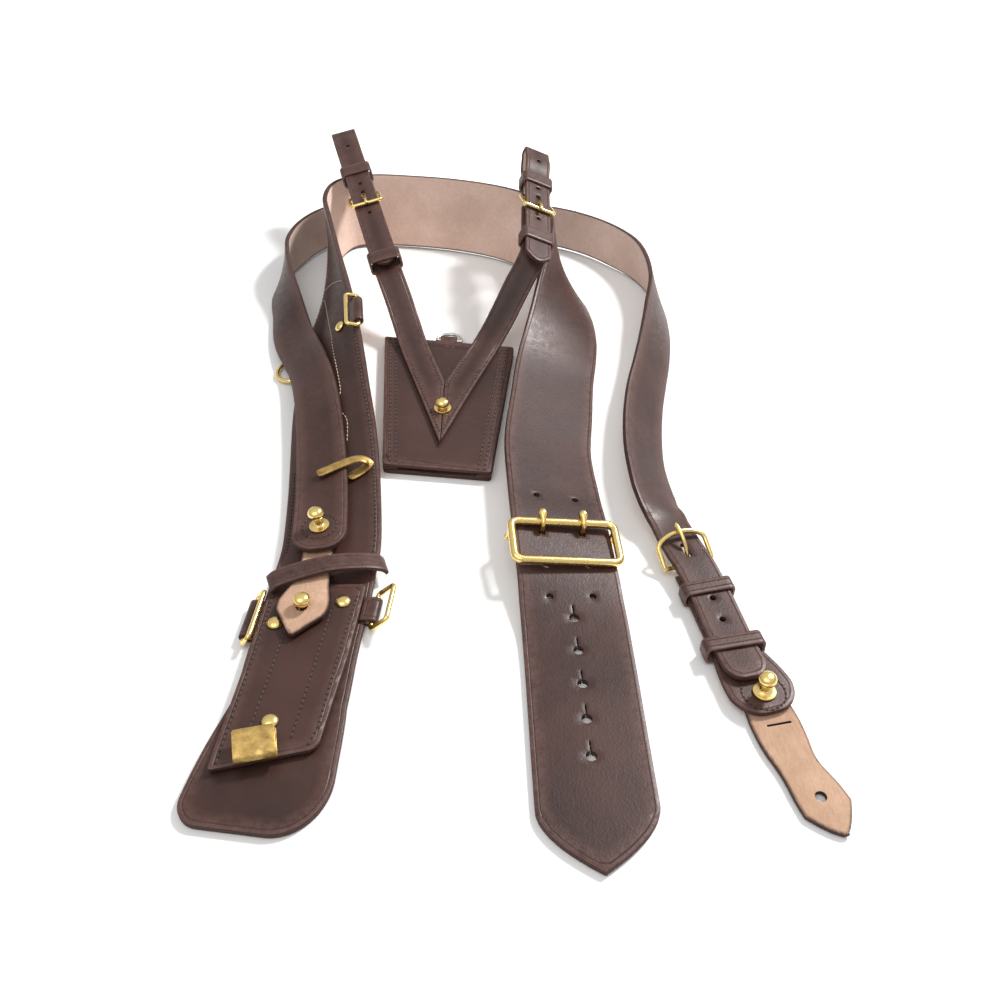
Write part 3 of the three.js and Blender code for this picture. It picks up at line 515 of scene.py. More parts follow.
class Seat:
    """A local frame: origin and three directions."""

    def __init__(self, origin, x, y, z):
        self.origin = np.asarray(origin, float)
        self.basis = np.stack([np.asarray(v, float) for v in (x, y, z)])

    def __call__(self, points):
        return self.origin + np.asarray(points, float) @ self.basis

    def moved(self, offset):
        return Seat(self(offset), *self.basis)

    def turned(self, axis, angle):
        """Turned about its own X, Y or Z direction."""
        c, s = math.cos(angle), math.sin(angle)
        local = {"x": [[1, 0, 0], [0, c, s], [0, -s, c]], "y": [[c, 0, -s], [0, 1, 0], [s, 0, c]],
                 "z": [[c, s, 0], [-s, c, 0], [0, 0, 1]]}[axis]
        return Seat(self.origin, *(np.array(local) @ self.basis))


def strip(points, across):
    """Path of a strip whose width runs one way throughout."""
    w = np.tile(across, (len(points), 1))
    return Path(points, w, np.cross(w, unit(np.gradient(points, axis=0))))


def oblong(width, length):
    return [(-width / 2, 0), (width / 2, 0), (width / 2, length), (-width / 2, length)]


def standing(x, y, z, yaw=0):
    return Seat((x, y, z), (1, 0, 0), (0, 1, 0), (0, 0, 1)).turned("z", yaw)


class Flat:
    """A flat sheet at one height."""

    def __init__(self, z):
        self.z = z

    def at(self, x, y, height):
        x, y, height = np.broadcast_arrays(*(np.asarray(v, float) for v in (x, y, height)))
        return np.stack([x, y, self.z + height], -1)


def resample(points, step, closed=True):
    """Points along a polygon at most step apart, keeping its corners."""
    out = []
    count = len(points) if closed else len(points) - 1
    for k in range(count):
        a, b = np.array(points[k], float), np.array(points[(k + 1) % len(points)], float)
        pieces = max(1, int(math.ceil(np.linalg.norm(b - a) / step - 1e-6)))
        out += [a + (b - a) * j / pieces for j in range(pieces)]
    if not closed:
        out.append(np.array(points[-1], float))
    return np.array(out)


def inset(points, distance):
    """A closed polygon moved inwards (counter-clockwise) by distance, corners mitred."""
    before, after = np.roll(points, 1, 0), np.roll(points, -1, 0)
    e1, e2 = unit(points - before), unit(after - points)
    n1, n2 = np.stack([-e1[:, 1], e1[:, 0]], -1), np.stack([-e2[:, 1], e2[:, 0]], -1)
    middle = unit(n1 + n2)
    scale = 1 / np.maximum(np.sum(middle * n1, -1), 0.35)
    return points + middle * (distance * scale)[:, None]


def inside(points, polygon):
    x, y = points[:, :1], points[:, 1:]
    ax, ay = polygon[None, :, 0], polygon[None, :, 1]
    bx, by = np.roll(ax, -1, 1), np.roll(ay, -1, 1)
    hit = ((ay > y) != (by > y)) & (x < (bx - ax) * (y - ay) / np.where(by == ay, 1e-9, by - ay) + ax)
    return hit.sum(1) % 2 == 1


def distance_to(points, line, closed=True):
    """Distance of each point to a polyline."""
    a = line if closed else line[:-1]
    b = np.roll(line, -1, 0) if closed else line[1:]
    best = np.full(len(points), 1e9)
    for start in range(0, len(a), 200):
        p, q = a[None, start:start + 200], b[None, start:start + 200]
        d = q - p
        t = np.clip(np.sum((points[:, None] - p) * d, -1) / np.maximum(np.sum(d * d, -1), 1e-12), 0, 1)
        best = np.minimum(best, np.linalg.norm(points[:, None] - p - d * t[..., None], axis=-1).min(1))
    return best


def turning(points):
    """Positive where a closed polygon runs counter-clockwise."""
    x, y = points[:, 0], points[:, 1]
    return np.sum(x * np.roll(y, -1) - y * np.roll(x, -1))


def full_turn(count):
    return np.linspace(0, 2 * math.pi, count, endpoint=False)


def circle(x, y, r, count=20):
    a = full_turn(count)
    return np.stack([x + r * np.cos(a), y + r * np.sin(a)], -1)


def cut_hide(name, surface, outline, thickness, body, nodes=(), holes=(), creases=(), grid=(5, 3),
             rounding=0.7, look=None, step=2.2):
    """A piece of hide cut to a flat outline with holes and laid on a surface. Flat points are (across, along)
    in millimetres; look gives the materials of its outer face, inner face and cut edge."""
    look = look or (LEATHER, FLESH, EDGE)
    rims = [resample(outline, step)]
    if turning(rims[0]) < 0:
        rims[0] = rims[0][::-1]
    for hole in holes:
        hole = resample(hole, 1.0)
        rims.append(hole[::-1] if turning(hole) > 0 else hole)
    insets = [inset(rim, rounding if k == 0 else min(rounding, 0.5)) for k, rim in enumerate(rims)]
    low, high = rims[0].min(0), rims[0].max(0)
    xs = np.arange(low[0] + grid[0] / 2, high[0], grid[0])
    ys = np.arange(low[1] + grid[1] / 2, high[1], grid[1])
    field = np.stack(np.meshgrid(xs, ys), -1).reshape(-1, 2)
    lines = [resample(c, 2.0, False) for c in creases]
    keep = inside(field, insets[0])
    for k, rim in enumerate(insets):
        keep &= distance_to(field, rim) > 1.2
        if k:
            keep &= ~inside(field, rim)
    for line in lines:
        keep &= distance_to(field, line, False) > 0.8
    field = field[keep]
    flat, edges, starts = [], [], []
    for ring, closed in [(r, True) for r in insets] + [(line, False) for line in lines]:
        first = len(flat)
        starts.append(first)
        flat += ring.tolist()
        edges += [(first + k, first + k + 1) for k in range(len(ring) - 1)]
        if closed:
            edges.append((first + len(ring) - 1, first))
    flat += field.tolist()
    out, _, triangles, origins, _, _ = delaunay_2d_cdt([Vector(p) for p in flat], edges, [], 0, 1e-5)
    out = np.array([tuple(p) for p in out])
    index = {o: k for k, found in enumerate(origins) for o in found}
    triangles = np.array(triangles)
    centre = out[triangles].mean(1)
    good = inside(centre, insets[0])
    for ring in insets[1:]:
        good &= ~inside(centre, ring)
    triangles = triangles[good]
    a, b, c = out[triangles[:, 0]], out[triangles[:, 1]], out[triangles[:, 2]]
    turn = (b[:, 0] - a[:, 0]) * (c[:, 1] - a[:, 1]) - (b[:, 1] - a[:, 1]) * (c[:, 0] - a[:, 0])
    triangles[turn < 0] = triangles[turn < 0][:, ::-1]
    half = thickness / 2
    count = len(out)
    top = surface.at(out[:, 0], out[:, 1], half)
    bottom = surface.at(out[:, 0], out[:, 1], -half)
    verts = [top, bottom]
    rim_values = [distance_to(out, rims[0])] * 2
    crease_values = [np.full(count, 9.0)] * 2
    if lines:
        crease_values = [np.min([distance_to(out, line, False) for line in lines], 0)] * 2
    faces = triangles.tolist() + (triangles[:, ::-1] + count).tolist()
    indices = [0] * len(triangles) + [1] * len(triangles)
    total = 2 * count
    for k, (rim, ring) in enumerate(zip(rims, insets)):
        r = rounding if k == 0 else min(rounding, 0.5)
        soft = r * (1 - math.sqrt(0.5))
        shoulder = inset(rim, soft)
        layers = [[index[starts[k] + j] for j in range(len(rim))]]
        for points, height in ((shoulder, half - soft), (rim, half - r), (rim, r - half),
                               (shoulder, soft - half)):
            layers.append(list(range(total, total + len(rim))))
            verts.append(surface.at(points[:, 0], points[:, 1], height))
            rim_values.append(np.zeros(len(rim)))
            crease_values.append(np.full(len(rim), 9.0))
            total += len(rim)
        layers.append([index[starts[k] + j] + count for j in range(len(rim))])
        for level in range(5):
            upper, lower = layers[level], layers[level + 1]
            material = 0 if level == 0 else 2
            for j in range(len(rim)):
                m = (j + 1) % len(rim)
                faces.append([upper[j], lower[j], lower[m], upper[m]])
                indices.append(material)
    attributes = {"rim": np.concatenate(rim_values) * 0.1, "crease": np.concatenate(crease_values) * 0.1}
    verts = np.concatenate(verts)
    return finish_piece(name, verts, faces, list(look), indices, body, nodes, attributes)


def strap_outline(length, reach, fine=36):
    """Closed outline of a strap from reach(d, length), its width to either side."""
    d = np.unique(np.concatenate([fine * (1 - np.cos(np.linspace(0, math.pi / 2, 26))),
                                  np.linspace(fine, length - fine, max(2, int((length - 2 * fine) / 3))),
                                  length - fine * (1 - np.cos(np.linspace(math.pi / 2, 0, 26)))]))
    sides = np.array([reach(v, length) for v in d])
    right = np.stack([sides[:, 1], d], -1)
    left = np.stack([-sides[:, 0], d], -1)[::-1]
    points = np.concatenate([right, left])
    keep = np.linalg.norm(points - np.roll(points, 1, 0), axis=1) > 0.25
    return points[keep]


def arc_end(left, radius, flat):
    """Share of full width near a rounded end: left is the distance to the end."""
    return math.sqrt(max(0, 1 - (1 - left / radius) ** 2)) * (1 - flat) + flat if left < radius else 1


def sweep(points, radii, sides=16, closed=False):
    """Round bar along points; returns vertices and faces. Ends are domed when open."""
    p = np.asarray(points, float)
    radii = np.broadcast_to(np.asarray(radii, float), (len(p),)).copy()
    tangent = unit(np.roll(p, -1, 0) - np.roll(p, 1, 0)) if closed else unit(np.gradient(p, axis=0))
    normal = unit(np.cross(tangent[0], UP if abs(tangent[0][2]) < 0.9 else [1, 0, 0]))
    rings = []
    for k in range(len(p)):
        normal = unit(normal - tangent[k] * np.dot(normal, tangent[k]))
        binormal = np.cross(tangent[k], normal)
        a = full_turn(sides)
        rings.append(p[k] + radii[k] * (np.cos(a)[:, None] * normal + np.sin(a)[:, None] * binormal))
    if not closed:
        def dome(k, sign):
            caps = []
            for angle in (30, 60, 84):
                s, c = math.sin(math.radians(angle)), math.cos(math.radians(angle))
                centre = p[k] + sign * tangent[k] * radii[k] * s
                caps.append(centre + (rings[k] - p[k]) * c)
            return caps
        head, tail = dome(0, -1), dome(-1, 1)
        rings = head[::-1] + rings + tail
    verts = np.concatenate(rings)
    faces = []
    spans = len(rings) if closed else len(rings) - 1
    shift = 0
    if closed:
        gap = np.linalg.norm(rings[-1][:, None] - rings[0][None], axis=-1)
        shift = int(np.argmin([sum(gap[j, (j + s) % sides] for j in range(sides)) for s in range(sides)]))
    for r in range(spans):
        s = shift if r == len(rings) - 1 else 0
        a, b = r * sides, ((r + 1) % len(rings)) * sides
        for j in range(sides):
            faces.append([a + j, a + (j + 1) % sides, b + (j + 1 + s) % sides, b + (j + s) % sides])
    if not closed:
        faces.append(list(range(sides))[::-1])
        faces.append([(len(rings) - 1) * sides + j for j in range(sides)])
    return verts, faces


def gather(parts):
    """Joins several (vertices, faces) or (vertices, faces, material) parts."""
    verts, faces, indices = [], [], []
    total = 0
    for part in parts:
        v, f = part[0], part[1]
        verts.append(v)
        faces += [[k + total for k in face] for face in f]
        indices += [part[2] if len(part) > 2 else 0] * len(f)
        total += len(v)
    return np.concatenate(verts), faces, indices


def metal(name, parts, material, body, nodes):
    verts, faces, indices = gather(parts)
    return finish_piece(name, verts, faces, [material], indices, body, nodes)


def loop_of_wire(outline, seat, radius=WIRE_R):
    return [sweep(seat(np.column_stack([outline, np.zeros(len(outline))])), radius, 16, True)]


def rounded_rect(width, depth, corner, arc=7):
    points = []
    hx, hy = width / 2 - corner, depth / 2 - corner
    for q, (cx, cy) in enumerate([(hx, -hy), (hx, hy), (-hx, hy), (-hx, -hy)]):
        for k in range(arc + 1):
            a = -math.pi / 2 + (q + k / arc) * math.pi / 2
            points.append((cx + corner * math.cos(a), cy + corner * math.sin(a)))
    return points


def lathe(profile, seat, sides=40):
    rings = []
    for r, z in profile:
        a = full_turn(sides)
        r = max(r, 0.02)
        rings.append(seat(np.stack([r * np.cos(a), r * np.sin(a), np.full(sides, z)], -1)))
    faces = []
    for k in range(len(rings) - 1):
        for j in range(sides):
            m = (j + 1) % sides
            faces.append([k * sides + j, k * sides + m, (k + 1) * sides + m, (k + 1) * sides + j])
    faces.append(list(range(sides))[::-1])
    faces.append([(len(rings) - 1) * sides + j for j in range(sides)])
    return np.concatenate(rings), faces


# ---- stitching ----
def stitch_row(surface, line, height, pitch=3.4, radius=0.36, closed=False):
    """Thread lying in a row of awl holes along a flat line; returns parts, thread first and holes second. The
    holes are flat near-black discs laid on the surface: painted shade of the awl holes.
    """
    line = np.array(line, float)
    if closed:
        line = np.vstack([line, line[:1]])
    along = np.concatenate([[0], np.cumsum(np.linalg.norm(np.diff(line, axis=0), axis=1))])
    count = max(1, int(round(along[-1] / pitch)))
    marks = np.linspace(0, along[-1], count + 1)
    flat = lambda s: np.stack([np.interp(s, along, line[:, 0]), np.interp(s, along, line[:, 1])], -1)
    parts = []
    for k in range(count):
        share = np.linspace(0, 1, 6)
        s = marks[k] + (marks[k + 1] - marks[k]) * (0.14 + 0.72 * share)
        xy = flat(s)
        lift = height + radius * (1.1 * np.sin(math.pi * share) - 0.55)
        points = surface.at(xy[:, 0], xy[:, 1], lift)
        parts.append((*sweep(points, radius * (0.75 + 0.25 * np.sin(math.pi * share)), 7), 0))
    # Each awl hole is a flat dark disc on the surface, not a cut: painted shade.
    for s in marks[:-1] if closed else marks:
        centre = flat(s)
        ring = circle(centre[0], centre[1], radius * 2.3, 9)
        mid = surface.at(centre[0], centre[1], height + 0.02)
        edge = surface.at(ring[:, 0], ring[:, 1], height + 0.04)
        faces = [[0, 1 + j, 1 + (j + 1) % 9] for j in range(9)]
        parts.append((np.vstack([mid[None], edge]), faces, 1))
    return parts


def stitching(name, rows, body, thread=THREAD):
    verts, faces, indices = gather([part for row in rows for part in row])
    return finish_piece(name, verts, faces, [thread, HOLE_SHADE], indices, body)


# ---- waist belt ----
BELT = Path.rows(BELT_ROWS)
CROSS = Path.rows(CROSS_ROWS)


def belt_reach(d, length):
    half = BELT_W / 2
    if d < 33:
        tip = max(0.02, 1 - (1 - d / 33) ** 1.8)
        return half * tip, half * tip
    left = length - d
    if left > 75:
        return half, half
    flare = half * (1 + 0.22 * math.sin(math.pi / 2 * (1 - left / 75)))
    return flare * arc_end(left, 34, 0.25), flare * arc_end(left, 14, 0.65)


def key_slot(across, along, r=2.8, width=0.35, reach=8.5):
    """Button hole: a round hole with a slit running on from it."""
    start = math.asin(width / r)
    a = np.linspace(math.pi / 2 + start, 2 * math.pi + math.pi / 2 - start, 22)
    ring = np.stack([across + r * np.cos(a), along + r * np.sin(a)], -1)
    slit = [(across + width, along + reach), (across, along + reach + 0.5), (across - width, along + reach)]
    return np.vstack([ring, slit])


def slot_hole(across, along, width, length):
    return np.array(rounded_rect(width, length, min(width, length) / 2 - 0.1, 5)) + (across, along)


def waist_belt():
    holes = [circle(x, BELT.find(y, 0, 0.2), 2) for y in PRONG_HOLES for x in (-PRONG_SPREAD, PRONG_SPREAD)]
    holes += [key_slot(0, BELT.find(y, 0, 0.2)) for y in KEY_SLOTS]
    main = BELT.find(MAIN_Y, 0, 0.3)
    holes += [slot_hole(x, main + PIVOT_Y - 0.8, 3.8, 5.6) for x in (-PRONG_SPREAD, PRONG_SPREAD)]
    outline = strap_outline(BELT.length, belt_reach)
    cut_hide("belt_leather", BELT, outline, BELT_T, "belt", ["waist_belt"], holes, grid=(5, 2.6))


# ---- buckles ----
def prong_parts(seat, pivot_y, pivot_z, bar_y, bar_z, bar_r, pin_r, pivot_r, bulb):
    """A buckle pin: a sheet eye round the pivot bar and a shank that swells over the far bar."""
    lift = bar_r + pin_r + GAP
    if bar_y - pivot_y < 2 * lift:
        rise = [(pivot_y, pivot_z + pivot_r + 0.5), (pivot_y - 0.2, bar_z),
                (bar_y - lift * 0.72, bar_z + lift * 0.72)]
    else:
        rise = [(pivot_y + 0.8, pivot_z + pivot_r + 0.6), ((pivot_y + bar_y) / 2, bar_z - 0.6),
                (bar_y - lift, bar_z + lift * 0.72)]
    rise += [(bar_y, bar_z + lift), (bar_y + bar_r + 1.6, bar_z + lift)]
    spine = smooth([(0, y, z) for y, z in rise], 7)
    share = np.linspace(0, 1, len(spine))
    radii = pin_r * (0.92 + (bulb - 0.92) * np.clip((share - 0.62) / 0.3, 0, 1) ** 1.5)
    a = full_turn(22)
    r = pivot_r + 0.8
    ring = np.column_stack([np.zeros(len(a)), pivot_y + r * np.cos(a), pivot_z + r * np.sin(a)])
    parts = [sweep(seat(spine), radii)]
    for x in (-1.1, 0, 1.1):
        parts.append(sweep(seat(ring + (x, 0, 0)), 0.62, 8, True))
    return parts


def main_buckle():
    seat = BELT.seat(BELT.find(MAIN_Y, 0, 0.3))
    top = BELT_T / 2 + GAP + BAR_R + 0.6
    under = -(BELT_T / 2 + GAP + PIN_R + 1.4)
    outline = rounded_rect(MAIN_WIDTH - 2 * BAR_R, MAIN_DEPTH - 2 * BAR_R, 4.6, 9)
    outline = resample(outline, 3)
    x = MAIN_WIDTH / 2 - BAR_R
    parts = [sweep(seat(np.column_stack([outline, np.full(len(outline), top + 0.2)])), 2.5, 20, True)]
    for px in (-x, x):
        parts.append(sweep(seat([(px, PIVOT_Y, z) for z in np.linspace(top, under, 8)]), 1.4, 14))
        parts.append(sweep(seat([(px + dx, PIVOT_Y, under) for dx in np.linspace(-0.8, 0.8, 3)]), 1.9, 14))
    parts.append(sweep(seat([(px, PIVOT_Y, under) for px in np.linspace(-x, x, 12)]), PIN_R, 14))
    metal("main_buckle", parts, BRASS, "belt", ["main_buckle_frame"])
    bar_y = MAIN_DEPTH / 2 - BAR_R
    for name, px in (("main_prong_left", -PRONG_SPREAD), ("main_prong_right", PRONG_SPREAD)):
        parts = prong_parts(seat.moved((px, 0, 0)), PIVOT_Y, under, bar_y, top, BAR_R, 1.6, PIN_R, 1.75)
        metal(f"{name}_pin", parts, BRASS, name, [name])


def strap_buckle(name, seat, outline, depth, thickness, lift=0.0):
    pivot_z = -(thickness / 2 + GAP + WIRE_R + 1.3)
    bar_z = thickness / 2 + GAP + WIRE_R + lift
    scale = math.hypot(bar_z - pivot_z, depth) / depth
    tilted = seat.moved((0, 0, pivot_z)).turned("x", math.atan2(bar_z - pivot_z, depth))
    ring = resample([(x, y * scale) for x, y in outline], 2)
    metal(f"{name}_wire", loop_of_wire(ring, tilted), BRASS, name, [f"{name}_frame"])
    parts = prong_parts(seat, 0, pivot_z, depth, bar_z, WIRE_R, 1.2, WIRE_R, 1.15)
    metal(f"{name}_pin", parts, BRASS, name.replace("buckle", "prong"), [f"{name}_prong"])


def keeper(name, seat, inner_width, inner_depth, length, wall):
    """A narrow leather band round the straps that it holds."""
    corner = 2.6
    middle = resample(rounded_rect(inner_width + wall, inner_depth + wall, corner, 6), 1.6)
    out = -inset(middle, 1.0) + middle
    r = 0.45
    section = []
    for cx, cy, start in ((wall / 2 - r, length / 2 - r, 0), (-wall / 2 + r, length / 2 - r, 90),
                          (-wall / 2 + r, -length / 2 + r, 180), (wall / 2 - r, -length / 2 + r, 270)):
        for angle in (0, 45, 90):
            a = math.radians(start + angle)
            section.append((cx + r * math.cos(a), cy + r * math.sin(a)))
    outer = [(wall / 2, y) for y in np.linspace(-length / 2 + r, length / 2 - r, 7)[1:-1]]
    section += outer
    rings = []
    for (x, z), (nx, nz) in zip(middle, out):
        rings.append(seat([(x + nx * a, y, z + nz * a) for a, y in section]))
    size = len(section)
    faces, indices = [], []
    for k in range(len(rings)):
        for j in range(size):
            m = (j + 1) % size
            a, b = k * size, ((k + 1) % len(rings)) * size
            faces.append([a + j, b + j, b + m, a + m])
            span = (section[j][0] + section[m][0]) / 2
            indices.append(0 if span > wall / 2 - 0.2 else 1 if span < -wall / 2 + 0.2 else 2)
    rim = np.tile([length / 2 - abs(y) for _, y in section], len(rings)) * 0.1
    return finish_piece(f"{name}_band", np.concatenate(rings), faces, [LEATHER, FLESH, PALE_EDGE], indices,
                        name, [name], {"rim": rim, "crease": np.full(len(rim), 0.9)})


# ---- studs, rivets and rings ----
STUD = [(1.6, -3), (1.6, 0.3), (5.9, 0.35), (6.25, 0.7), (6.1, 1.15), (5.2, 1.45), (3.0, 1.75), (2.35, 2.4),
        (2.15, 4), (2.15, 6), (2.4, 7.1), (3.3, 7.7), (4.3, 8.6), (4.85, 9.9), (4.85, 11.1), (4.4, 12.3),
        (3.4, 13.3), (1.9, 13.85), (0, 14)]
SHORT_STUD = [(1.6, -3), (1.6, 0.3), (5.9, 0.35), (6.2, 0.7), (6, 1.15), (4.8, 1.5), (2.7, 1.8), (2.3, 2.3),
              (2.7, 2.8), (3.9, 3.3), (4.8, 4.3), (4.8, 5.5), (4.2, 6.6), (3, 7.5), (1.6, 7.95), (0, 8)]
RIVET = [(1.5, -2.4), (1.5, 0.35), (4.1, 0.4), (4.4, 0.7), (4.2, 1.2), (3.4, 1.8), (2.2, 2.3), (1.0, 2.47),
         (0, 2.5)]


def fastener(name, seat, profile, nodes=None):
    body = "frog" if name.startswith("frog") else "belt"
    metal(f"{name}_head", [lathe(profile, seat)], BRASS, body, [name] if nodes is None else nodes)


def fold_tab(name, seat, radius, width, side, tail, body="belt"):
    """A strip of hide folded round a ring's bar, its two ends running back under the panel. side is the X
    direction away from the belt."""
    middle = radius + 0.2
    path = [(-side * tail, middle * 0.55)]
    path += [(-side * 2.4, middle * 0.9)]
    path += [(side * middle * math.sin(a), middle * math.cos(a)) for a in np.radians(np.linspace(0, 180, 13))]
    path += [(-side * 2.4, -middle * 0.9), (-side * tail, -middle * 0.55)]
    tab = strip(seat(smooth([(x, 0, z) for x, z in path], 3)), -side * seat.basis[1])
    cut_hide(f"{name}_fold", tab, oblong(width, tab.length), 1.6, body, [name], grid=(3, 1.2), rounding=0.4,
             step=1.2)


def edge_ring(name, along, side, size, tilt, tail=7):
    long, short = size
    seat = BELT.seat(along, side * (BELT_W / 2 + 4.2), 1.7)
    inner = seat.turned("y", side * tilt)
    outline = resample([(x - side * short / 2, y) for x, y in rounded_rect(short, long, 2.4, 6)], 2)
    metal(f"{name}_wire", loop_of_wire(outline, inner), BRASS, f"{name}_ring", [f"{name}_ring"])
    fold_tab(f"{name}_loop", seat, WIRE_R + 0.9, long - 9, side, tail)


def dee(radius, arc=24):
    a = np.linspace(0, math.pi, arc)
    return [(radius * math.cos(v), radius * 0.95 * math.sin(v)) for v in a]


def edge_rings():
    edge_ring("left_lower", BELT.find(45, 0.6, 1), 1, (35, 8), math.radians(55))
    edge_ring("right_lower", BELT.find(58, 0.6, 1), -1, (26, 14), math.radians(135))
    edge_ring("right_upper", BELT.find(306, 0.6, 1), -1, (34, 9), math.radians(60))
    seat = standing(-198, 294, 3.4, math.radians(7))
    ring = resample([(-y, x) for x, y in dee(13)], 2)
    inner = seat.turned("y", math.radians(-7))
    metal("left_upper_wire", loop_of_wire(ring, inner), BRASS, "left_upper_ring", ["left_upper_ring"])
    fold_tab("left_upper_loop", seat, WIRE_R + 0.9, 14, -1, 8)


# ---- overlay panel on the belt's left end ----
OVERLAY_OUTLINE = [(-177, 72), (-181, 10), (-187, -52), (-137, -40), (-134, -36), (-126, 20), (-121, 72)]
OVERLAY = Flat(OVERLAY_Z + PANEL_T / 2)


def blunt(outline, radius):
    """Outline with each corner cut to a short arc."""
    points = np.array(outline, float)
    out = []
    for k in range(len(points)):
        before, here, after = points[k - 1], points[k], points[(k + 1) % len(points)]
        r = min(radius, np.linalg.norm(before - here) / 2.2, np.linalg.norm(after - here) / 2.2)
        a, b = here + unit(before - here) * r, here + unit(after - here) * r
        for t in np.linspace(0, 1, 7):
            out.append((1 - t) ** 2 * a + 2 * t * (1 - t) * here + t * t * b)
    return np.array(out)


def overlay():
    outline = blunt(OVERLAY_OUTLINE, 3)
    cut_hide("overlay_leather", OVERLAY, outline, PANEL_T, "belt", ["overlay_panel"], grid=(5, 5))
    face = PANEL_T / 2
    rows = [[(-173.5, 64), (-176.5, 22), (-183, -48)], [(-162.5, 38), (-166.5, 2), (-170, -27)],
            [(-139, 53), (-143.5, 8), (-148.5, -33)], [(-125.5, 62), (-130, 30), (-136, -28), (-139.5, -37)]]
    stitching("overlay_stitches", [stitch_row(OVERLAY, row, face) for row in rows], "belt")
    top = OVERLAY_FACE
    fastener("panel_stud", standing(-154, 50, top), STUD)
    fastener("panel_rivet_left", standing(-169, 42, top), RIVET)
    fastener("panel_rivet_right", standing(-133, 58, top), RIVET)


def hook_plate():
    """A folded brass sheet that hooks down over the panel's lower edge."""
    seat = standing(-167, -29.5, OVERLAY_FACE + GAP, math.radians(12))
    bends = [(0, 0.6), (-8, 0.6), (-16.4, 0.7), (-18.4, 1.6), (-18.9, 3.1), (-18, 4.7), (-16, 5.5), (-9, 6.9),
             (-3, 7.8)]
    line = smooth([(0, y, z) for y, z in bends], 5)
    sheet = strip(seat(line), seat.basis[0])
    outline = np.array(rounded_rect(HOOK_PLATE_W, sheet.length, 1.6, 5)) + (0, sheet.length / 2)
    cut_hide("hook_plate_sheet", sheet, outline, HOOK_PLATE_T, "belt", ["hook_plate"], grid=(3, 1.5),
             rounding=0.3, look=(OLD_BRASS,) * 3, step=1.2)
    hook = Path.rows(HOOK_ROWS)

    def reach(d, length):
        share = arc_end(d, 3, 0.35) * arc_end(length - d, 3, 0.35)
        return FLAT_HOOK_W / 2 * share, FLAT_HOOK_W / 2 * share
    outline = strap_outline(hook.length, reach, 8)
    cut_hide("flat_hook_sheet", hook, outline, FLAT_HOOK_T, "belt", ["flat_hook"], grid=(2, 1.5),
             rounding=0.35, look=(OLD_BRASS,) * 3, step=1.2)


# ---- cross strap and its ends ----
def cross_reach(d, length):
    half, narrow = STRAP_W / 2, BILLET_W / 2
    left = length - d
    if d < 15:
        width = half * arc_end(d, 15, 0.2)
    elif left > 120:
        width = narrow + (half - narrow) * min(1, (left - 120) / 30)
    else:
        width = narrow * arc_end(left, 12, 0.25)
    return width, width


def cross_strap():
    buckle = CROSS.find(CROSS_BUCKLE_Y, 0.6, 1)
    holes = [slot_hole(0, buckle - 5.2, 3.6, 11)]
    holes += [circle(0, CROSS.find(y, 0.6, 1), 1.8) for y in (60, 44)]
    cut_hide("cross_strap_leather", CROSS, strap_outline(CROSS.length, cross_reach), STRAP_T, "belt",
             ["cross_strap"], holes, grid=(4.5, 2.6))
    start = CROSS.find(CROSS_STUD_Y, 0, 0.3)
    fastener("cross_stud", CROSS.seat(start, 0, STRAP_T / 2), STUD)
    ring = circle(0, start, 10.5, 40)
    stitching("cross_stud_stitches", [stitch_row(CROSS, ring, STRAP_T / 2, closed=True)], "belt")
    half, leg, rise = 15.5, 10, 6.5
    a = np.linspace(0, math.pi, 22)
    outline = [(half, 0), *((half * math.cos(v), leg + rise * math.sin(v)) for v in a), (-half, 0)]
    seat = CROSS.seat(buckle, 0, 0, math.pi)
    strap_buckle("horseshoe_buckle", seat, outline, leg + rise, STRAP_T, 2.4)
    keeper("upper_keeper", CROSS.seat(CROSS.find(68, 0.6, 1), 0, -2), 28, 8.8, 9, KEEPER_WALL)
    keeper("lower_keeper", CROSS.seat(CROSS.find(27, 0.6, 1), 0, -1.8), 31.5, 8.6, 9, KEEPER_WALL)


def left_tongue():
    path = Path.rows(LEFT_TONGUE_ROWS)

    def reach(d, length):
        left = length - d
        tip = max(0.12, (left / 16) ** 0.6) if left < 16 else 1
        width = (9 + 5.5 * math.exp(-(((left - 22) / 14) ** 2))) * tip
        return width, width
    hole = circle(0, path.find(50), 3.2, 24)
    outline = strap_outline(path.length, reach, 24)
    cut_hide("left_tongue_leather", path, outline, THIN_T, "belt", ["left_tongue"], [hole], grid=(3, 2.5),
             look=(TONGUE, LEATHER, EDGE))
    band = Path.rows(KEEPER_ROWS)
    cut_hide("keeper_loop_leather", band, oblong(KEEPER_LOOP_W, band.length), 2.6, "belt", ["keeper_loop"],
             grid=(3, 1.8))


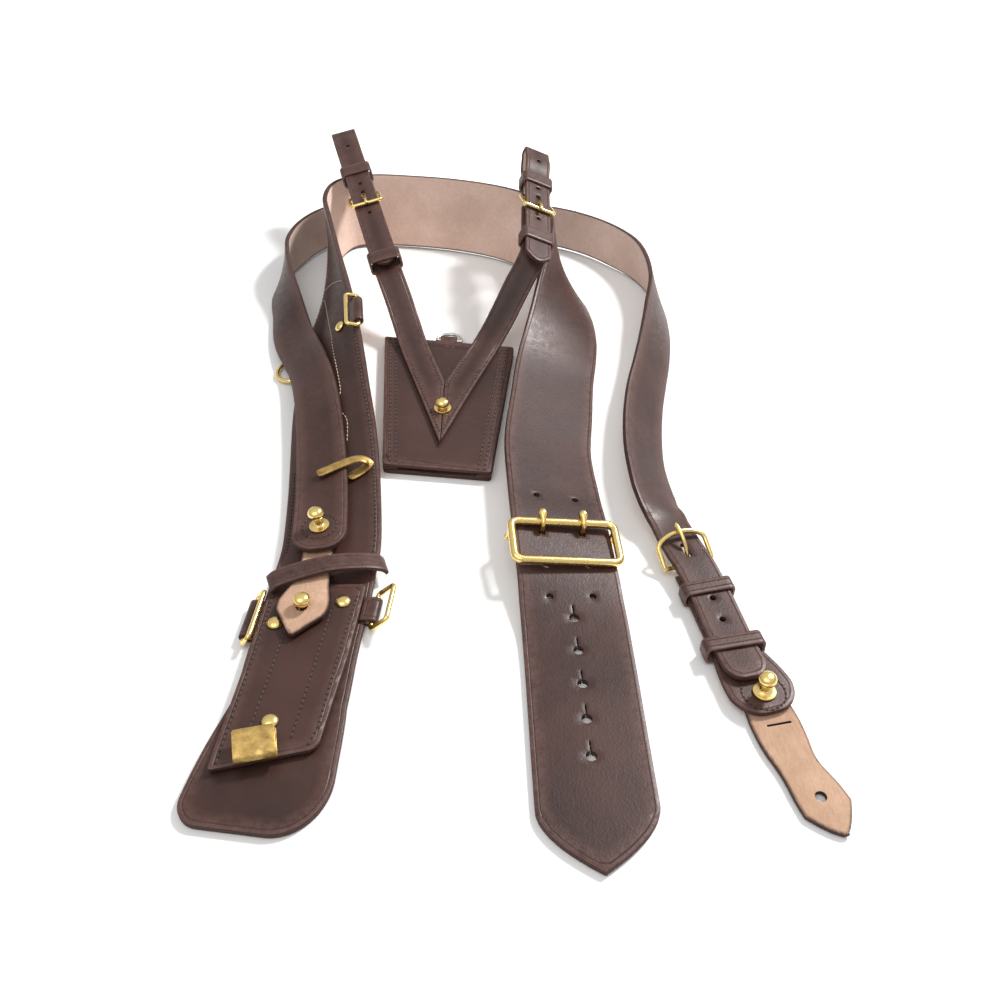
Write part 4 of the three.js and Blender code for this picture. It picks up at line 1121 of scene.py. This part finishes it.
def chape_and_tongue():
    chape = Path.rows(CHAPE_ROWS)

    def reach(d, length):
        left = length - d
        wide = 12.8 + (5.4 * math.sin(math.pi / 2 * min(1, (45 - left) / 32)) if left < 45 else 0)
        wide *= arc_end(left, 17, 0.15)
        return wide, wide
    outline = strap_outline(chape.length, reach, 20)
    cut_hide("chape_leather", chape, outline, THIN_T, "belt", ["chape"], grid=(3, 2.5))
    at = chape.find(-4)
    fastener("chape_stud", standing(94, -4, 7.1), STUD)
    ring = circle(0, at, 11.5, 40)
    stitching("chape_stitches", [stitch_row(chape, ring, THIN_T / 2, 2.9, 0.34, True)], "belt")
    tongue = Path.rows(TONGUE_ROWS)
    bend = tongue.find(-19)

    def tongue_reach(d, length):
        left = length - d
        tip = max(0.12, (left / 15) ** 0.7) if left < 15 else 1
        half = 13 - 2.2 * math.exp(-(((d - bend - 28) / 12) ** 2))
        half -= 2 * (1 - min(1, d / bend))
        return half * tip, half * tip
    holes = [circle(0, tongue.find(-63), 2.8, 22), slot_hole(-1.5, bend + 2.5, 13, 0.9)]
    outline = strap_outline(tongue.length, tongue_reach, 20)
    piece = cut_hide("tongue_leather", tongue, outline, THIN_T, None, ["tongue_root", "tongue"], holes,
                     grid=(3, 2), look=(TONGUE, LEATHER, EDGE))
    at, along = tongue.at(0, bend, 0) * MM, tongue.at(0, bend + 1, 0) * MM
    step = Vector(along - at) * 2.2
    Vector(at) - step
    Vector(at) + step
    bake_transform(piece)


# ---- sword frog ----
FROG_CORNERS = [(-121.5, 180.5), (-50, 171.5), (-33.5, 319), (-133, 334)]
FRONT = Flat(FROG_FACE - FROG_T / 2)


def frog_side(side, v, inward=0.0):
    low, high = (FROG_CORNERS[0], FROG_CORNERS[3]) if side < 0 else (FROG_CORNERS[1], FROG_CORNERS[2])
    return (low[0] + (high[0] - low[0]) * v - side * inward, low[1] + (high[1] - low[1]) * v)


def frog():
    outline = blunt(FROG_CORNERS, 2.5)
    cut_hide("frog_back_leather", Flat(FROG_T / 2), outline, FROG_T, "frog", ["frog_back"], grid=(6, 6))
    hems = [[frog_side(-1, v, 16), frog_side(1, v, 16)] for v in (0.965, 0.94, 0.03)]
    # The hem creases are painted darker by the leather look: painted shade in their grooves.
    cut_hide("frog_front_leather", FRONT, outline, FROG_T, "frog", ["frog_front"], creases=hems, grid=(5, 5))
    for name, side in (("frog_welt_left", -1), ("frog_welt_right", 1)):
        outline = [frog_side(side, 0), frog_side(side, 0, 10), frog_side(side, 1, 10), frog_side(side, 1)]
        middle = Flat(FROG_T + GAP + WELT_T / 2)
        cut_hide(f"{name}_leather", middle, outline, WELT_T, "frog", [name], grid=(4, 6))
    rows = [stitch_row(FRONT, [frog_side(side, 0.02, d), frog_side(side, 0.965, d)], FROG_T / 2, 4.6, 0.42)
            for side in (-1, 1) for d in (4.6, 8.8)]
    stitching("frog_stitches", rows, "frog")
    fastener("frog_stud", standing(*FROG_STUD, FROG_FACE + GAP + THIN_T), SHORT_STUD)
    seat = standing(-83.5, 333.5, 4.1, math.radians(-8))
    ring = resample(dee(9.5), 1.6)
    metal("frog_ring_wire", loop_of_wire(ring, seat, 1.4), STEEL, "frog_ring", ["frog_ring"])
    fold_tab("frog_ring_loop", seat.turned("z", math.pi / 2), WIRE_R + 0.9, 12, 1, 8, "frog")


# ---- hanger straps ----
def hanger(name, rows, keep):
    """Lower strap of one hanger, mitred against the other on the frog's middle line."""
    path = Path.rows(rows)
    half = HANGER_W / 2

    def mitre(across):
        d = np.linspace(0, 120, 2400)
        x = path.at(across, d, 0)[:, 0]
        ok = keep * (x - MITRE_X) >= GAP / 2
        return float(d[ok][0])
    start = [(a, mitre(a)) for a in np.linspace(-half, half, 13)]
    outline = start + [(half, path.length), (-half, path.length)]
    bore = path.find(FROG_STUD[1])
    cut_hide(f"{name}_hanger_leather", path, outline, THIN_T, "frog", [f"{name}_hanger_strap"], grid=(4, 3),
             rounding=0.6)
    rows = []
    for a in (-half + 2.6, half - 2.6):
        line = [(a, mitre(a) + 4), (a, bore + (52 if a * keep > 0 else 62))]
        if line[1][1] - line[0][1] > 8:
            rows.append(stitch_row(path, line, THIN_T / 2, 3.6, 0.38))
    stitching(f"{name}_hanger_stitches", rows, "frog")


def loop_path(spec):
    """Path of a folded loop: from the billet tip up to the fold and back down behind."""
    tip, top = np.array(spec["tip"], float), np.array(spec["top"], float)
    along = unit(top - tip)
    seat = Seat(tip, *(unit(np.cross(along, UP)), along, np.cross(unit(np.cross(along, UP)), along)))
    seat = seat.turned("y", -math.radians(spec["roll"]))
    length = np.linalg.norm(top - tip)
    r = (LOOP_GAP + THIN_T) / 2
    bend = length - r - THIN_T / 2
    y = list(np.linspace(0, bend, 60)) + [bend + r * math.sin(a) for a in np.linspace(0, math.pi, 24)[1:-1]]
    z = [0.0] * 60 + [-r + r * math.cos(a) for a in np.linspace(0, math.pi, 24)[1:-1]]
    back = np.linspace(bend, spec["buckle"] + 5, 50)
    y, z = np.array(y + list(back)), np.array(z + [-2 * r] * 50)
    swell = np.clip((y - bend + 34) / 34, 0, 1)
    z = -r + (z + r) * (1 + 0.55 * np.sin(math.pi * np.clip(swell, 0, 0.97)) ** 2)
    return seat, strip(seat(np.column_stack([np.zeros(len(y)), y, z])), seat.basis[0])


def under_layer(spec, reaches):
    """Rows along the back layer of a folded loop, where its hanger strap runs."""
    seat, _ = loop_path(spec)
    return [(*seat((0, y, -(LOOP_GAP + THIN_T))), spec["roll"]) for y in reaches]


def folded_loop(name, spec):
    seat, path = loop_path(spec)
    half = HANGER_W / 2
    outline = [(-4.5, 2), (0, 0), (4.5, 2), (half, 8), (half, path.length), (-half, path.length), (-half, 8)]
    outline = blunt(outline, 2)
    holes = [circle(0, d, 1.7) for d in spec["holes"]]
    holes.append(slot_hole(0, spec["buckle"] - 5.5, 3.4, 12))
    node = f"{name}_loop_strap"
    cut_hide(f"{name}_loop_leather", path, outline, THIN_T, "frog", [node], holes, grid=(4, 2))
    depth = LOOP_BUCKLE_DEPTH
    ring = [(x, y + depth / 2) for x, y in rounded_rect(HANGER_W + 4.8, depth, 2.2, 6)]
    turned = seat.moved((0, spec["buckle"], 0)).turned("z", math.pi)
    strap_buckle(f"{name}_buckle", turned, ring, depth, THIN_T)
    for k, y in enumerate(spec["keepers"]):
        node = f"{name}_keeper_{'upper' if k else 'lower'}"
        at = seat.moved((0, y, -(LOOP_GAP + THIN_T) / 2))
        keeper(node, at, HANGER_W + 2, 2 * THIN_T + LOOP_GAP + 1, 12, KEEPER_WALL)


# ---- decorative stitching on the left run ----
def left_run_stitches():
    face = BELT_T / 2
    edges = [(-26.5, 292, 100), (26.5, 176, 100)]
    rows = [stitch_row(BELT, [(a, BELT.find(start, 0.6, 1)), (a, BELT.find(end, 0.6, 1))], face)
            for a, start, end in edges]
    stitching("belt_edge_stitches", rows, "belt")
    teardrop = [(24, 872), (14, 848), (4, 832), (-4, 818), (-10, 804), (-3, 808), (8, 834), (15, 852),
                (5, 870), (-11, 884), (-26, 898)]
    wave = [(27, 884), (18, 876), (5, 886), (-3, 930), (-5, 956), (-9, 999), (-5, 1007)]
    hook = [(-6, 1019), (-11, 1030), (-10, 1050)]
    rows = [stitch_row(BELT, smooth(line), face, 3.6, 0.34) for line in (teardrop, wave, hook)]
    stitching("belt_pattern_stitches", rows, "belt", LIGHT_THREAD)
    fastener("belt_rivet", BELT.seat(938, -14, face), RIVET, nodes=[])
    fastener("hook_rivet", standing(-160.5, -23.5, OVERLAY_FACE), RIVET, nodes=[])


waist_belt()
main_buckle()
overlay()
hook_plate()
edge_rings()
cross_strap()
left_tongue()
chape_and_tongue()
frog()
hanger("left", LEFT_HANGER_ROWS + under_layer(LOOPS["left"], (2, 24, 52, 84)), -1)
hanger("right", RIGHT_HANGER_ROWS + under_layer(LOOPS["right"], (24, 48, 72)), 1)
folded_loop("left", LOOPS["left"])
folded_loop("right", LOOPS["right"])
left_run_stitches()
